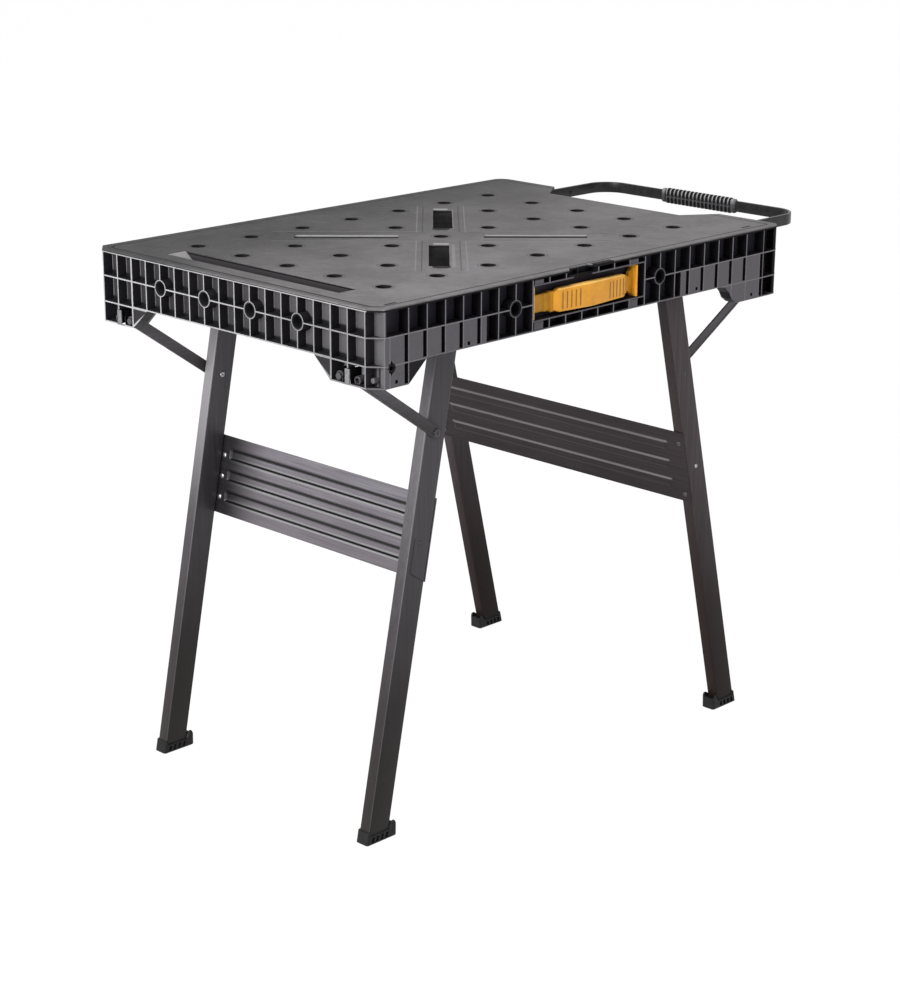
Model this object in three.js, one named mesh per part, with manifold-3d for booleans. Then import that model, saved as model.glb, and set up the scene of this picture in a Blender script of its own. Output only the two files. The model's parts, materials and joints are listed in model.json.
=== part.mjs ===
// A folding workbench: a ribbed plastic top on two folding steel leg frames.
// Millimetres, +Z up. The bench stands on z = 0 and its long side runs along X.
// The side with the carry handle faces -Y, and the pull handle is at the +X end.
import * as THREE from 'three';
import { mergeVertices } from 'three/addons/utils/BufferGeometryUtils.js';
import ManifoldModule from 'manifold-3d';

const wasm = await ManifoldModule();
wasm.setup();

// Top
const benchHeight = 795;
const topLength = 872;
const topWidth = 600;
const cornerRadius = 20;
const deckThickness = 4;
const rowHeight = 38.7;
const blockHeight = 30.5;
const skirtDepth = 21;
const endSkirtDepth = 25;
const ribThickness = 2;
const skirtWall = 3;

// Cells along the skirt
const leftPostLength = 59.75;
const rightPostLength = 87.75;
const frontCells = 21;
const endPitch = 32.6;
const endCells = 13;
const blankSlot = 6.8;
const leftCornerCell = 17.5;
const rightCornerCell = 45;
const endCornerCell = 21;
const leftDrainInset = 37.2;
const rightDrainInset = 71.3;
const postDrainDrop = 100.3;
const leftRailDrainInset = 174;
const leftRailDrainDrop = 71.4;
const rightRailDrainInset = 207.6;
const rightRailDrainDrop = 70.5;
const keyholeInset = 28.3;
const keyholeDrop = 80.6;
const keyholeHeight = 22;
const bossRadius = 12.5;
const bossHoleRadius = 9.5;

// Deck features
const dogEndRoom = 254;
const dogPitchY = 98.5;
const dogRadius = 10.5;
const dogColumns = 7;
const dogRows = 5;
const windowLength = 156;
const windowWidth = 30;
const grooveLength = 156;
const grooveWidth = 26;
const grooveDepth = 13;
const troughWall = 3;
const trayInset = 61;
const trayWidth = 36;
const trayLength = 368;
const trayDepth = 24;
const trayWall = 2.5;
const notchDepth = 54;
const notchMouth = 352;
const notchFloor = 278;
const fingerNotchLength = 60;
const fingerNotchDepth = 10;
const fingerNotchOffset = -16;

// Carry handle
const carryRecessTop = 13;
const carryRecessBottom = 62;
const carryGripLength = 146;
const carryGripHeight = 34;
const carryNeckHeight = 26;
const carryThickness = 10;
const carryFlange = 4;

// Pull handle
const pullReach = 174;
const pullSideInset = 88;
const pullStripHeight = 18;
const pullStripThickness = 5;
const pullDrop = 13;
const pullBend = 45;
const pullInside = 100;
const pullGripLength = 158;
const pullGripHeight = 26;
const pullGripThickness = 15;
const pullGripRibs = 13;

// Leg frames
const tubeWidth = 40;
const tubeDepth = 20;
const tubeWall = 1.5;
const tubeAbovePivot = 20;
const slideInset = 53;
const slidePlate = 5.2;
const slideDrop = 76;
const leftPivotInset = 201.5;
const leftPivotDrop = 57;
const leftFootInset = 55;
const rightPivotInset = 237;
const rightPivotDrop = 46;
const rightFootInset = 56.5;
const leftPivotTravel = 155;
const rightPivotTravel = 185;
const pinRadius = 5;
const shoeLength = 18;
const shoeHeight = 12;
const braceWidth = 22;
const braceThickness = 3;
const braceDrop = 209;
const braceSeatInset = 16;
const braceSeatDrop = 100;
const braceSeatRoom = 8;
const rivetRadius = 4;
const rivetHeadRadius = 8;
const rivetHead = 1.3;
const panelDrop = 302;
const panelHeight = 121;
const panelSheet = 1.5;
const panelBead = 3.5;
const panelBeads = 3;
const panelBeadEnd = 14;
const screwRadius = 5;
const screwHead = 2;
const screwInset = 16;

// Feet
const bootHeight = 28;
const bootWall = 2.2;
const bootSole = 5;
const bootToe = 14;
const bootToeHeight = 17;

// Fits
const faceGap = 0.3;
const runGap = 0.5;
const slotGap = 0.6;

// Derived places
const halfLength = topLength / 2;
const halfWidth = topWidth / 2;
const deckUnder = benchHeight - deckThickness;
const rowLine = benchHeight - rowHeight;
const skirtBottom = benchHeight - 2 * rowHeight;
const blockBottom = skirtBottom - blockHeight;
const frontStart = -halfLength + leftPostLength;
const frontEnd = halfLength - rightPostLength;
const frontPitch = (frontEnd - frontStart) / frontCells;
const cellGridX = (frontStart + frontEnd) / 2;
const dogPitchX = (topLength - dogEndRoom) / (dogColumns - 1);
const trayCentreX = -halfLength + trayInset;
const keyholeX = halfLength - keyholeInset;
const leftPivotX = -halfLength + leftPivotInset;
const leftFootX = -halfLength + leftFootInset;
const rightPivotX = halfLength - rightPivotInset;
const rightFootX = halfLength - rightFootInset;
const braceSeatX = halfLength - braceSeatInset;
const endRun = endCells * endPitch;
const pullHalfWidth = halfWidth - pullSideInset;
const rightRailHalf = pullHalfWidth + 10;
const slideHalfWidth = halfWidth - slideInset;
const braceRoom = slidePlate / 2 + runGap + rivetHead + braceThickness + faceGap;
const leftTubeOuter = slideHalfWidth - braceRoom;
const leftTubeInner = leftTubeOuter - tubeDepth;
const rightTubeInner = slideHalfWidth + braceRoom;
const rightTubeOuter = rightTubeInner + tubeDepth;
const pullTop = benchHeight - pullDrop;
const pullBottom = pullTop - pullStripHeight;
const pullOuterX = halfLength + pullReach;

// Colours
const paint = (color, roughness, metalness) =>
  new THREE.MeshStandardMaterial({ color, roughness, metalness });
const deckGrey = 0x6c6a6b;
const skirtBlack = 0x1d1c1e;
const steelCharcoal = 0x39373a;
const steelBright = 0x9a9a9c;
const handleYellow = 0xe6a823;
const gripGrey = 0x6b6c70;
const bootBlack = 0x161617;

// Shapes
const box = (x0, x1, y0, y1, z0, z1) => {
  const shape = new THREE.BoxGeometry(Math.abs(x1 - x0), Math.abs(y1 - y0), Math.abs(z1 - z0));
  return shape.translate((x0 + x1) / 2, (y0 + y1) / 2, (z0 + z1) / 2);
};

const outline = (points) => new THREE.Shape(points.map(([u, v]) => new THREE.Vector2(u, v)));

const extrude = (shape, depth, curveSegments = 8) =>
  new THREE.ExtrudeGeometry(shape, { depth, bevelEnabled: false, curveSegments });

// A plan outline in X and Y, raised from z0 to z1.
const prismZ = (shape, z0, z1) => extrude(shape, z1 - z0).translate(0, 0, z0);

// A side outline in X and Z, running from y0 to y1.
const prismY = (shape, y0, y1) => extrude(shape, y1 - y0).rotateX(Math.PI / 2).translate(0, y1, 0);

// An end outline in Y and Z, running from x0 to x1.
const prismX = (shape, x0, x1) => {
  const turn = new THREE.Matrix4().set(0, 0, 1, x0, 1, 0, 0, 0, 0, 1, 0, 0, 0, 0, 0, 1);
  return extrude(shape, x1 - x0).applyMatrix4(turn);
};

const rodY = (radius, x, z, y0, y1, sides = 20) => {
  const rod = new THREE.CylinderGeometry(radius, radius, Math.abs(y1 - y0), sides);
  return rod.translate(x, (y0 + y1) / 2, z);
};

const rodX = (radius, y, z, x0, x1, sides = 20) => {
  const rod = new THREE.CylinderGeometry(radius, radius, Math.abs(x1 - x0), sides);
  return rod.rotateZ(Math.PI / 2).translate((x0 + x1) / 2, y, z);
};

// Joining and cutting
const solid = (geometry) => {
  const bare = geometry.clone();
  bare.deleteAttribute('normal');
  bare.deleteAttribute('uv');
  const welded = mergeVertices(bare, 1e-4);
  return new wasm.Manifold(new wasm.Mesh({
    numProp: 3,
    vertProperties: new Float32Array(welded.attributes.position.array),
    triVerts: new Uint32Array(welded.index.array),
  }));
};

const surface = (body) => {
  const mesh = body.getMesh();
  const geometry = new THREE.BufferGeometry();
  geometry.setAttribute('position', new THREE.BufferAttribute(mesh.vertProperties, 3));
  geometry.setIndex(new THREE.BufferAttribute(mesh.triVerts, 1));
  const flat = geometry.toNonIndexed();
  flat.computeVertexNormals();
  return flat;
};

const join = (shapes) => surface(wasm.Manifold.union(shapes.map(solid)));

const cut = (shapes, tools) => {
  const body = wasm.Manifold.union(shapes.map(solid));
  return tools.length ? surface(body.subtract(wasm.Manifold.union(tools.map(solid)))) : surface(body);
};

const bench = new THREE.Group();
bench.name = 'folding_workbench';

const add = (parent, name, geometry, color, roughness = 0.6, metalness = 0) => {
  const mesh = new THREE.Mesh(geometry, paint(color, roughness, metalness));
  mesh.name = name;
  parent.add(mesh);
  return mesh;
};

const group = (parent, name, x = 0, y = 0, z = 0, lean = 0) => {
  const child = new THREE.Group();
  child.name = name;
  child.position.set(x, y, z);
  child.rotation.y = lean;
  parent.add(child);
  return child;
};

const top = group(bench, 'top');

// Deck: one plate with cut corners at the left and round ones at the right, round dog holes, clamp windows,
// groove slots, a tray mouth and a hand notch.
const turnedSlot = (x, y, length, width, angle) => {
  const along = new THREE.Vector2(Math.cos(angle), Math.sin(angle)).multiplyScalar(length / 2);
  const across = new THREE.Vector2(-Math.sin(angle), Math.cos(angle)).multiplyScalar(width / 2);
  const corner = (a, b) => [x + a * along.x + b * across.x, y + a * along.y + b * across.y];
  return [corner(-1, -1), corner(1, -1), corner(1, 1), corner(-1, 1)];
};

const dogPlace = (column, row) => [
  cellGridX + (column - (dogColumns - 1) / 2) * dogPitchX,
  ((dogRows - 1) / 2 - row) * dogPitchY,
];
const windowPlaces = [[4, 1], [2, 3]];
const groovePlaces = [[2, 1], [4, 3]];
const taken = [...windowPlaces, ...groovePlaces].map(String);

const deckShape = new THREE.Shape();
const innerX = halfLength - cornerRadius;
const innerY = halfWidth - cornerRadius;
const cutCornerX = halfLength - leftCornerCell + ribThickness / 2;
const cutCornerY = halfWidth - endCornerCell + ribThickness / 2;
const fingerStart = cellGridX - fingerNotchLength / 2 + fingerNotchOffset;
deckShape.moveTo(-cutCornerX, -halfWidth);
deckShape.lineTo(fingerStart, -halfWidth);
deckShape.lineTo(fingerStart + fingerNotchDepth, -halfWidth + fingerNotchDepth);
deckShape.lineTo(fingerStart + fingerNotchLength - fingerNotchDepth, -halfWidth + fingerNotchDepth);
deckShape.lineTo(fingerStart + fingerNotchLength, -halfWidth);
deckShape.lineTo(innerX, -halfWidth);
deckShape.absarc(innerX, -innerY, cornerRadius, -Math.PI / 2, 0, false);
deckShape.lineTo(halfLength, -notchMouth / 2);
deckShape.lineTo(halfLength - notchDepth, -notchFloor / 2);
deckShape.lineTo(halfLength - notchDepth, notchFloor / 2);
deckShape.lineTo(halfLength, notchMouth / 2);
deckShape.absarc(innerX, innerY, cornerRadius, 0, Math.PI / 2, false);
deckShape.lineTo(-cutCornerX, halfWidth);
deckShape.lineTo(-halfLength, cutCornerY);
deckShape.lineTo(-halfLength, -cutCornerY);
for (let column = 0; column < dogColumns; column += 1) {
  for (let row = 0; row < dogRows; row += 1) {
    if (!taken.includes(String([column, row]))) {
      const [x, y] = dogPlace(column, row);
      deckShape.holes.push(new THREE.Path().absarc(x, y, dogRadius, 0, 2 * Math.PI, true));
    }
  }
}
for (const place of windowPlaces) {
  const [x, y] = dogPlace(...place);
  deckShape.holes.push(outline(turnedSlot(x, y, windowLength, windowWidth, Math.PI / 4)));
}
for (const place of groovePlaces) {
  const [x, y] = dogPlace(...place);
  deckShape.holes.push(outline(turnedSlot(x, y, grooveLength, grooveWidth, -Math.PI / 4)));
}
const trayX0 = trayCentreX - trayWidth / 2;
const trayX1 = trayCentreX + trayWidth / 2;
const trayY = trayLength / 2;
deckShape.holes.push(outline([[trayX0, -trayY], [trayX0, trayY], [trayX1, trayY], [trayX1, -trayY]]));
add(top, 'worktop_deck', prismZ(deckShape, deckUnder, benchHeight), deckGrey, 0.55);

// Vee grooves: shallow troughs that hang under the two groove slots.
groovePlaces.forEach((place, index) => {
  const [x, y] = dogPlace(...place);
  const half = grooveWidth / 2;
  const low = deckThickness + grooveDepth;
  const end = outline([
    [-half - troughWall, -low], [half + troughWall, -low],
    [half + troughWall, -deckThickness], [half, -deckThickness],
    [0, troughWall - low], [-half, -deckThickness], [-half - troughWall, -deckThickness],
  ]);
  const trough = prismX(end, -grooveLength / 2, grooveLength / 2);
  const mesh = add(top, `vee_groove_${index + 1}`, trough, deckGrey, 0.55);
  mesh.position.set(x, y, benchHeight);
  mesh.rotation.z = -Math.PI / 4;
});

// Tray: an open well under the deck's long slot.
const wellLow = benchHeight - trayDepth;
add(top, 'tool_tray', cut(
  [box(trayX0 - trayWall, trayX1 + trayWall, -trayY - trayWall, trayY + trayWall, wellLow, deckUnder)],
  [box(trayX0, trayX1, -trayY, trayY, wellLow + trayWall, deckUnder + 1)],
), deckGrey, 0.6);

// Skirt rails: slabs with two rows of open cells and ring bosses. The second row is blanked over the slides,
// but for a narrow slot beside each rib.
const carryCells = [7, 14];
const recessX0 = frontStart + carryCells[0] * frontPitch + ribThickness;
const recessX1 = frontStart + carryCells[1] * frontPitch - ribThickness;
const recessTop = benchHeight - carryRecessTop;
const recessLow = benchHeight - carryRecessBottom;
const recessBack = -halfWidth + skirtDepth - skirtWall;
const recessMiddle = (recessX0 + recessX1) / 2;
const halfRib = ribThickness / 2;
const upperRow = [rowLine + halfRib, deckUnder + 1];
const lowerRow = [skirtBottom + ribThickness, rowLine - halfRib];

const lowerOpenings = (cell, x0, x1) => {
  const slot = [x1 - blankSlot, x1];
  const width = x1 - x0;
  if (cell < 4 || cell > 16) return [slot];
  if (cell === 4) return [[x0 + width * 0.3, x1]];
  if (cell === 16) return [[x0, x0 + width * 0.4], slot];
  return [[x0, x1]];
};

const railAlongX = (side, bosses, withRecess, extraCuts = []) => {
  const face = side * halfWidth;
  const back = side * (halfWidth - skirtDepth);
  const deep = face - side * (skirtDepth - skirtWall);
  const cuts = [];
  const rings = [];
  const holes = [];
  for (let cell = 0; cell < frontCells; cell += 1) {
    const x0 = frontStart + cell * frontPitch + halfRib;
    const x1 = x0 + frontPitch - ribThickness;
    const atRecess = withRecess && cell >= carryCells[0] && cell < carryCells[1];
    const upperLow = atRecess ? recessTop + ribThickness : upperRow[0];
    const lowerHigh = atRecess ? recessLow - ribThickness : lowerRow[1];
    cuts.push(box(x0, x1, face + side, deep, upperLow, upperRow[1]));
    for (const [open0, open1] of lowerOpenings(cell, x0, x1)) {
      cuts.push(box(open0, open1, face + side, deep, lowerRow[0], lowerHigh));
    }
  }
  for (const rib of bosses) {
    const x = frontStart + rib * frontPitch;
    rings.push(rodY(bossRadius, x, rowLine, face, back));
    holes.push(rodY(bossHoleRadius, x, rowLine, face + side, deep));
  }
  const slab = cut([box(frontStart, frontEnd, face, back, skirtBottom, deckUnder)], cuts);
  return cut([join([slab, ...rings])], [...holes, ...extraCuts]);
};

const railAlongY = (side, half, bosses, extraCuts = []) => {
  const face = side * halfLength;
  const back = side * (halfLength - endSkirtDepth);
  const deep = face - side * (endSkirtDepth - skirtWall);
  const cuts = [];
  const rings = [];
  const holes = [];
  for (let cell = 0; cell < endCells; cell += 1) {
    const y0 = -endRun / 2 + cell * endPitch + halfRib;
    const y1 = y0 + endPitch - ribThickness;
    for (const [low, high] of [upperRow, lowerRow]) {
      cuts.push(box(face + side, deep, y0, y1, low, high));
    }
  }
  for (const rib of bosses) {
    const y = -endRun / 2 + rib * endPitch;
    rings.push(rodX(bossRadius, y, rowLine, face, back));
    holes.push(rodX(bossHoleRadius, y, rowLine, face + side, deep));
  }
  const slab = cut([box(face, back, -half, half, skirtBottom, deckUnder)], cuts);
  return cut(rings.length ? [join([slab, ...rings])] : [slab], [...holes, ...extraCuts]);
};

const fingerX0 = fingerStart + fingerNotchDepth;
const fingerX1 = fingerStart + fingerNotchLength - fingerNotchDepth;
const fingerBack = -halfWidth + fingerNotchDepth;
const carryRecess = box(recessX0, recessX1, -halfWidth - 1, recessBack, recessLow, recessTop);
const fingerWell = box(fingerX0, fingerX1, -halfWidth - 1, fingerBack, recessTop - 1, benchHeight);
const drainHole = 5;
const railDrains = [
  [-halfLength + leftRailDrainInset, leftRailDrainDrop],
  [halfLength - rightRailDrainInset, rightRailDrainDrop],
];
const drainHoles = railDrains.map(([x, drop]) => box(
  x - drainHole / 2, x + drainHole / 2, -halfWidth - 1, recessBack,
  benchHeight - drop - drainHole / 2, benchHeight - drop + drainHole / 2,
));
const frontCuts = [carryRecess, fingerWell, ...drainHoles];
add(top, 'front_rail', railAlongX(-1, [6, 15], true, frontCuts), skirtBlack, 0.5);
add(top, 'rear_rail', railAlongX(1, [6, 15], false), skirtBlack, 0.5);
add(top, 'left_rail', railAlongY(-1, endRun / 2, [2, 5, 8, 11]), skirtBlack, 0.5);
const pullSlot = (side) => box(
  halfLength - endSkirtDepth - 1, halfLength + 1,
  side * (pullHalfWidth + slotGap), side * (pullHalfWidth - pullStripThickness - slotGap),
  pullBottom - slotGap, pullTop + slotGap,
);
const handGap = box(
  halfLength - endSkirtDepth - 1, halfLength + 1,
  -notchMouth / 2, notchMouth / 2, rowLine - ribThickness, benchHeight,
);
const endCuts = [handGap, pullSlot(1), pullSlot(-1)];
add(top, 'right_rail', railAlongY(1, rightRailHalf, [], endCuts), skirtBlack, 0.5);

// Corner posts: cut corners at the left and round ones at the right. They reach one row below the rails and
// have open cells at the end and at the corner, blanked cells along the side, and a slot from below where a
// brace is seated.
const postRows = [
  upperRow,
  [skirtBottom + halfRib, rowLine - halfRib],
  [blockBottom + ribThickness, skirtBottom - halfRib],
];
const cornerPost = (name, endSide, longSide) => {
  const left = endSide < 0;
  const x = (v) => endSide * v;
  const y = (v) => longSide * v;
  const armX = left ? -frontStart : frontEnd;
  const armY = left ? endRun / 2 : rightRailHalf;
  const cornerX = halfLength - (left ? leftCornerCell : rightCornerCell);
  const cornerY = halfWidth - endCornerCell;
  const middleY = (armY + cornerY) / 2;
  const insideX = halfLength - endSkirtDepth;
  const insideY = halfWidth - skirtDepth;
  const arc = [];
  for (let step = 0; step <= 6; step += 1) {
    const angle = (step / 6) * (Math.PI / 2);
    arc.push([
      x(innerX + cornerRadius * Math.cos(angle)),
      y(innerY + cornerRadius * Math.sin(angle)),
    ]);
  }
  const corner = left ? [[x(halfLength), y(cutCornerY)], [x(cutCornerX), y(halfWidth)]] : arc;
  const plan = outline([
    [x(halfLength), y(armY)], ...corner, [x(armX), y(halfWidth)],
    [x(armX), y(insideY)], [x(insideX), y(insideY)], [x(insideX), y(armY)],
  ]);
  const drop = (share) => skirtBottom - blockHeight * share;
  const frontGusset = outline(left ? [
    [x(armX), skirtBottom], [x(armX), blockBottom], [x(armX - frontPitch), skirtBottom],
  ] : [
    [armX, skirtBottom], [armX, blockBottom], [armX - frontPitch * 0.6, blockBottom],
    [armX - frontPitch * 0.93, drop(0.75)], [armX - frontPitch * 1.12, drop(0.4)],
    [armX - frontPitch * 1.4, drop(0.1)], [armX - frontPitch * 1.8, skirtBottom],
  ]);
  const endGusset = outline([
    [y(armY), skirtBottom], [y(armY), blockBottom], [y(armY - endPitch), skirtBottom],
  ]);
  const yFace = [y(halfWidth), y(insideY)].sort((a, b) => a - b);
  const xFace = [x(halfLength), x(insideX)].sort((a, b) => a - b);
  const braceY = left ? leftTubeOuter + faceGap + braceThickness / 2
    : rightTubeInner - faceGap - braceThickness / 2;
  const cuts = [box(
    x(halfLength + 1), x(insideX - 1), y(braceY - braceSeatRoom), y(braceY + braceSeatRoom),
    blockBottom - 1, benchHeight - braceSeatDrop + braceWidth / 2 + 4,
  )];
  const deepX = insideX + skirtWall;
  const deepY = insideY + skirtWall;
  const slotStart = left ? armX + halfRib : cornerX - halfRib - blankSlot;
  postRows.forEach(([low, high], row) => {
    cuts.push(box(x(halfLength + 1), x(deepX), y(armY + ribThickness), y(middleY - halfRib), low, high));
    cuts.push(box(x(halfLength + 1), x(deepX), y(middleY + halfRib), y(cornerY - halfRib), low, high));
    cuts.push(left ? box(
      x(cornerX + halfRib), x(halfLength + 1), y(cornerY + halfRib), y(halfWidth + 1), low, high,
    ) : box(
      x(cornerX + halfRib), x(halfLength - ribThickness), y(deepY), y(halfWidth + 1), low, high,
    ));
    const open = row === 0 ? [armX + halfRib, cornerX - halfRib] : [slotStart, slotStart + blankSlot];
    cuts.push(box(x(open[0]), x(open[1]), y(halfWidth + 1), y(deepY), low, high));
  });
  const drainX = halfLength - (left ? leftDrainInset : rightDrainInset);
  const drainZ = benchHeight - postDrainDrop;
  cuts.push(box(
    x(drainX - drainHole / 2), x(drainX + drainHole / 2), y(halfWidth + 1), y(deepY),
    drainZ - drainHole / 2, drainZ + drainHole / 2,
  ));
  const keyX = x(keyholeX);
  const keyZ = benchHeight - keyholeDrop;
  const yKey = [y(halfWidth + 1), y(halfWidth - 4)].sort((a, b) => a - b);
  const ring = [];
  const bore = [];
  if (left) {
    const tall = keyholeHeight / 2;
    const wide = tall * 0.72;
    const waist = tall * 0.3;
    cuts.push(prismY(outline([
      [keyX, keyZ + tall], [keyX - waist, keyZ + waist], [keyX - wide, keyZ], [keyX - waist, keyZ - waist],
      [keyX, keyZ - tall], [keyX + waist, keyZ - waist], [keyX + wide, keyZ], [keyX + waist, keyZ + waist],
    ]), ...yKey));
    ring.push(rodY(tall * 0.5, keyX, keyZ, y(halfWidth), y(deepY)));
    bore.push(rodY(tall * 0.32, keyX, keyZ, y(halfWidth + 1), y(deepY)));
  }
  const body = join([
    prismZ(plan, blockBottom, deckUnder),
    prismY(frontGusset, ...yFace),
    prismX(endGusset, ...xFace),
  ]);
  add(top, name, cut([join([cut([body], cuts), ...ring])], bore), skirtBlack, 0.5);
};
cornerPost('corner_post_left_front', -1, -1);
cornerPost('corner_post_left_rear', -1, 1);
cornerPost('corner_post_right_front', 1, -1);
cornerPost('corner_post_right_rear', 1, 1);

// Carry handle: a moulded grip between two end flanges, set in the front recess.
const carryRoom = carryRecessBottom - carryRecessTop - carryGripHeight;
const carryMiddle = (recessTop + recessLow) / 2 + carryRoom / 12;
const carryFace = -halfWidth;
const carryBack = carryFace + carryThickness;
const gripHalf = carryGripLength / 2;
const neckLow = carryMiddle - carryNeckHeight / 2;
const neckHigh = carryMiddle + carryNeckHeight / 2;
const gripLow = carryMiddle - carryGripHeight / 2;
const gripHigh = carryMiddle + carryGripHeight / 2;
const gripSlope = 8;
const carryShape = outline([
  [recessX0 + carryFlange, neckLow], [recessMiddle - gripHalf - gripSlope, neckLow],
  [recessMiddle - gripHalf, gripLow], [recessMiddle + gripHalf, gripLow],
  [recessMiddle + gripHalf + gripSlope, neckLow], [recessX1 - carryFlange, neckLow],
  [recessX1 - carryFlange, neckHigh], [recessMiddle + gripHalf + gripSlope, neckHigh],
  [recessMiddle + gripHalf, gripHigh], [recessMiddle - gripHalf, gripHigh],
  [recessMiddle - gripHalf - gripSlope, neckHigh], [recessX0 + carryFlange, neckHigh],
]);
const flange = (x0, x1) => box(x0, x1, carryFace, recessBack, recessLow, recessTop);
add(top, 'carry_handle', join([
  prismY(carryShape, carryFace, carryBack),
  flange(recessX0, recessX0 + carryFlange),
  flange(recessX1 - carryFlange, recessX1),
]), handleYellow, 0.45);

// Slide plates: one beside each leg, between the two frames, with a slot for the leg's sliding pin.
const slideMargin = 10;
const slidePlates = (name, pivotX, travel, drop) => {
  const ends = [pivotX, pivotX + Math.sign(pivotX) * travel].sort((a, b) => a - b);
  const reach = shoeLength / 2 + runGap;
  const half = shoeHeight / 2 + runGap;
  const z = benchHeight - drop;
  for (const [place, side] of [['front', -1], ['rear', 1]]) {
    const plate = box(
      ends[0] - reach - slideMargin, ends[1] + reach + slideMargin,
      side * (slideHalfWidth - slidePlate / 2), side * (slideHalfWidth + slidePlate / 2),
      benchHeight - slideDrop, deckUnder,
    );
    const slot = box(ends[0] - reach, ends[1] + reach, side * halfWidth, 0, z - half, z + half);
    add(top, `${name}_slide_plate_${place}`, cut([plate], [slot]), steelCharcoal, 0.45, 0.6);
  }
};
slidePlates('left', leftPivotX, leftPivotTravel, leftPivotDrop);
slidePlates('right', rightPivotX, rightPivotTravel, rightPivotDrop);

// Pull handle: a bent steel strip whose arms slide in two guides under the deck, with a ribbed grip.
const pull = group(bench, 'pull_handle');
const bendX = pullOuterX - pullBend;
const bendY = pullHalfWidth - pullBend;
const armEnd = halfLength - pullInside;
const bendInner = pullBend - pullStripThickness;
const stopReach = 3;
const strip = new THREE.Shape();
strip.moveTo(armEnd, -pullHalfWidth - stopReach);
strip.lineTo(armEnd + pullStripThickness, -pullHalfWidth - stopReach);
strip.lineTo(armEnd + pullStripThickness, -pullHalfWidth);
strip.lineTo(bendX, -pullHalfWidth);
strip.absarc(bendX, -bendY, pullBend, -Math.PI / 2, 0, false);
strip.absarc(bendX, bendY, pullBend, 0, Math.PI / 2, false);
strip.lineTo(armEnd + pullStripThickness, pullHalfWidth);
strip.lineTo(armEnd + pullStripThickness, pullHalfWidth + stopReach);
strip.lineTo(armEnd, pullHalfWidth + stopReach);
strip.lineTo(armEnd, pullHalfWidth - pullStripThickness);
strip.absarc(bendX, bendY, bendInner, Math.PI / 2, 0, true);
strip.absarc(bendX, -bendY, bendInner, 0, -Math.PI / 2, true);
strip.lineTo(armEnd, -pullHalfWidth + pullStripThickness);
add(pull, 'pull_strip', prismZ(strip, pullBottom, pullTop), bootBlack, 0.4, 0.5);

const barX = pullOuterX - pullStripThickness / 2;
const barZ = (pullTop + pullBottom) / 2;
const ovalPrism = (width, height, y0, y1) => {
  const oval = new THREE.CylinderGeometry(1, 1, y1 - y0, 20);
  return oval.scale(width / 2, 1, height / 2).translate(barX, (y0 + y1) / 2, barZ);
};
const gripStart = -pullGripLength / 2;
const ribStep = pullGripLength / pullGripRibs;
const gripShapes = [ovalPrism(pullGripThickness - 3, pullGripHeight - 3, gripStart, -gripStart)];
for (let rib = 0; rib < pullGripRibs; rib += 1) {
  const y = gripStart + (rib + 0.5) * ribStep;
  gripShapes.push(ovalPrism(pullGripThickness, pullGripHeight, y - ribStep * 0.32, y + ribStep * 0.32));
}
const gripBore = box(
  barX - pullStripThickness / 2 - faceGap, barX + pullStripThickness / 2 + faceGap,
  gripStart - 1, -gripStart + 1, pullBottom - faceGap, pullTop + faceGap,
);
add(pull, 'pull_grip', cut(gripShapes, [gripBore]), gripGrey, 0.75);

const guideX1 = halfLength - endSkirtDepth - faceGap;
const guideX0 = armEnd + pullStripThickness + runGap;
for (const [name, side] of [['pull_guide_front', -1], ['pull_guide_rear', 1]]) {
  const block = box(
    guideX0, guideX1,
    side * (pullHalfWidth - pullStripThickness - 4), side * (pullHalfWidth + 4), pullBottom - 5, deckUnder,
  );
  const slot = box(
    guideX0 - 1, guideX1 + 1, side * (pullHalfWidth - pullStripThickness - slotGap),
    side * (pullHalfWidth + slotGap), pullBottom - slotGap, pullTop + slotGap,
  );
  add(top, name, cut([block], [slot]), skirtBlack, 0.55);
}

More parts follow.
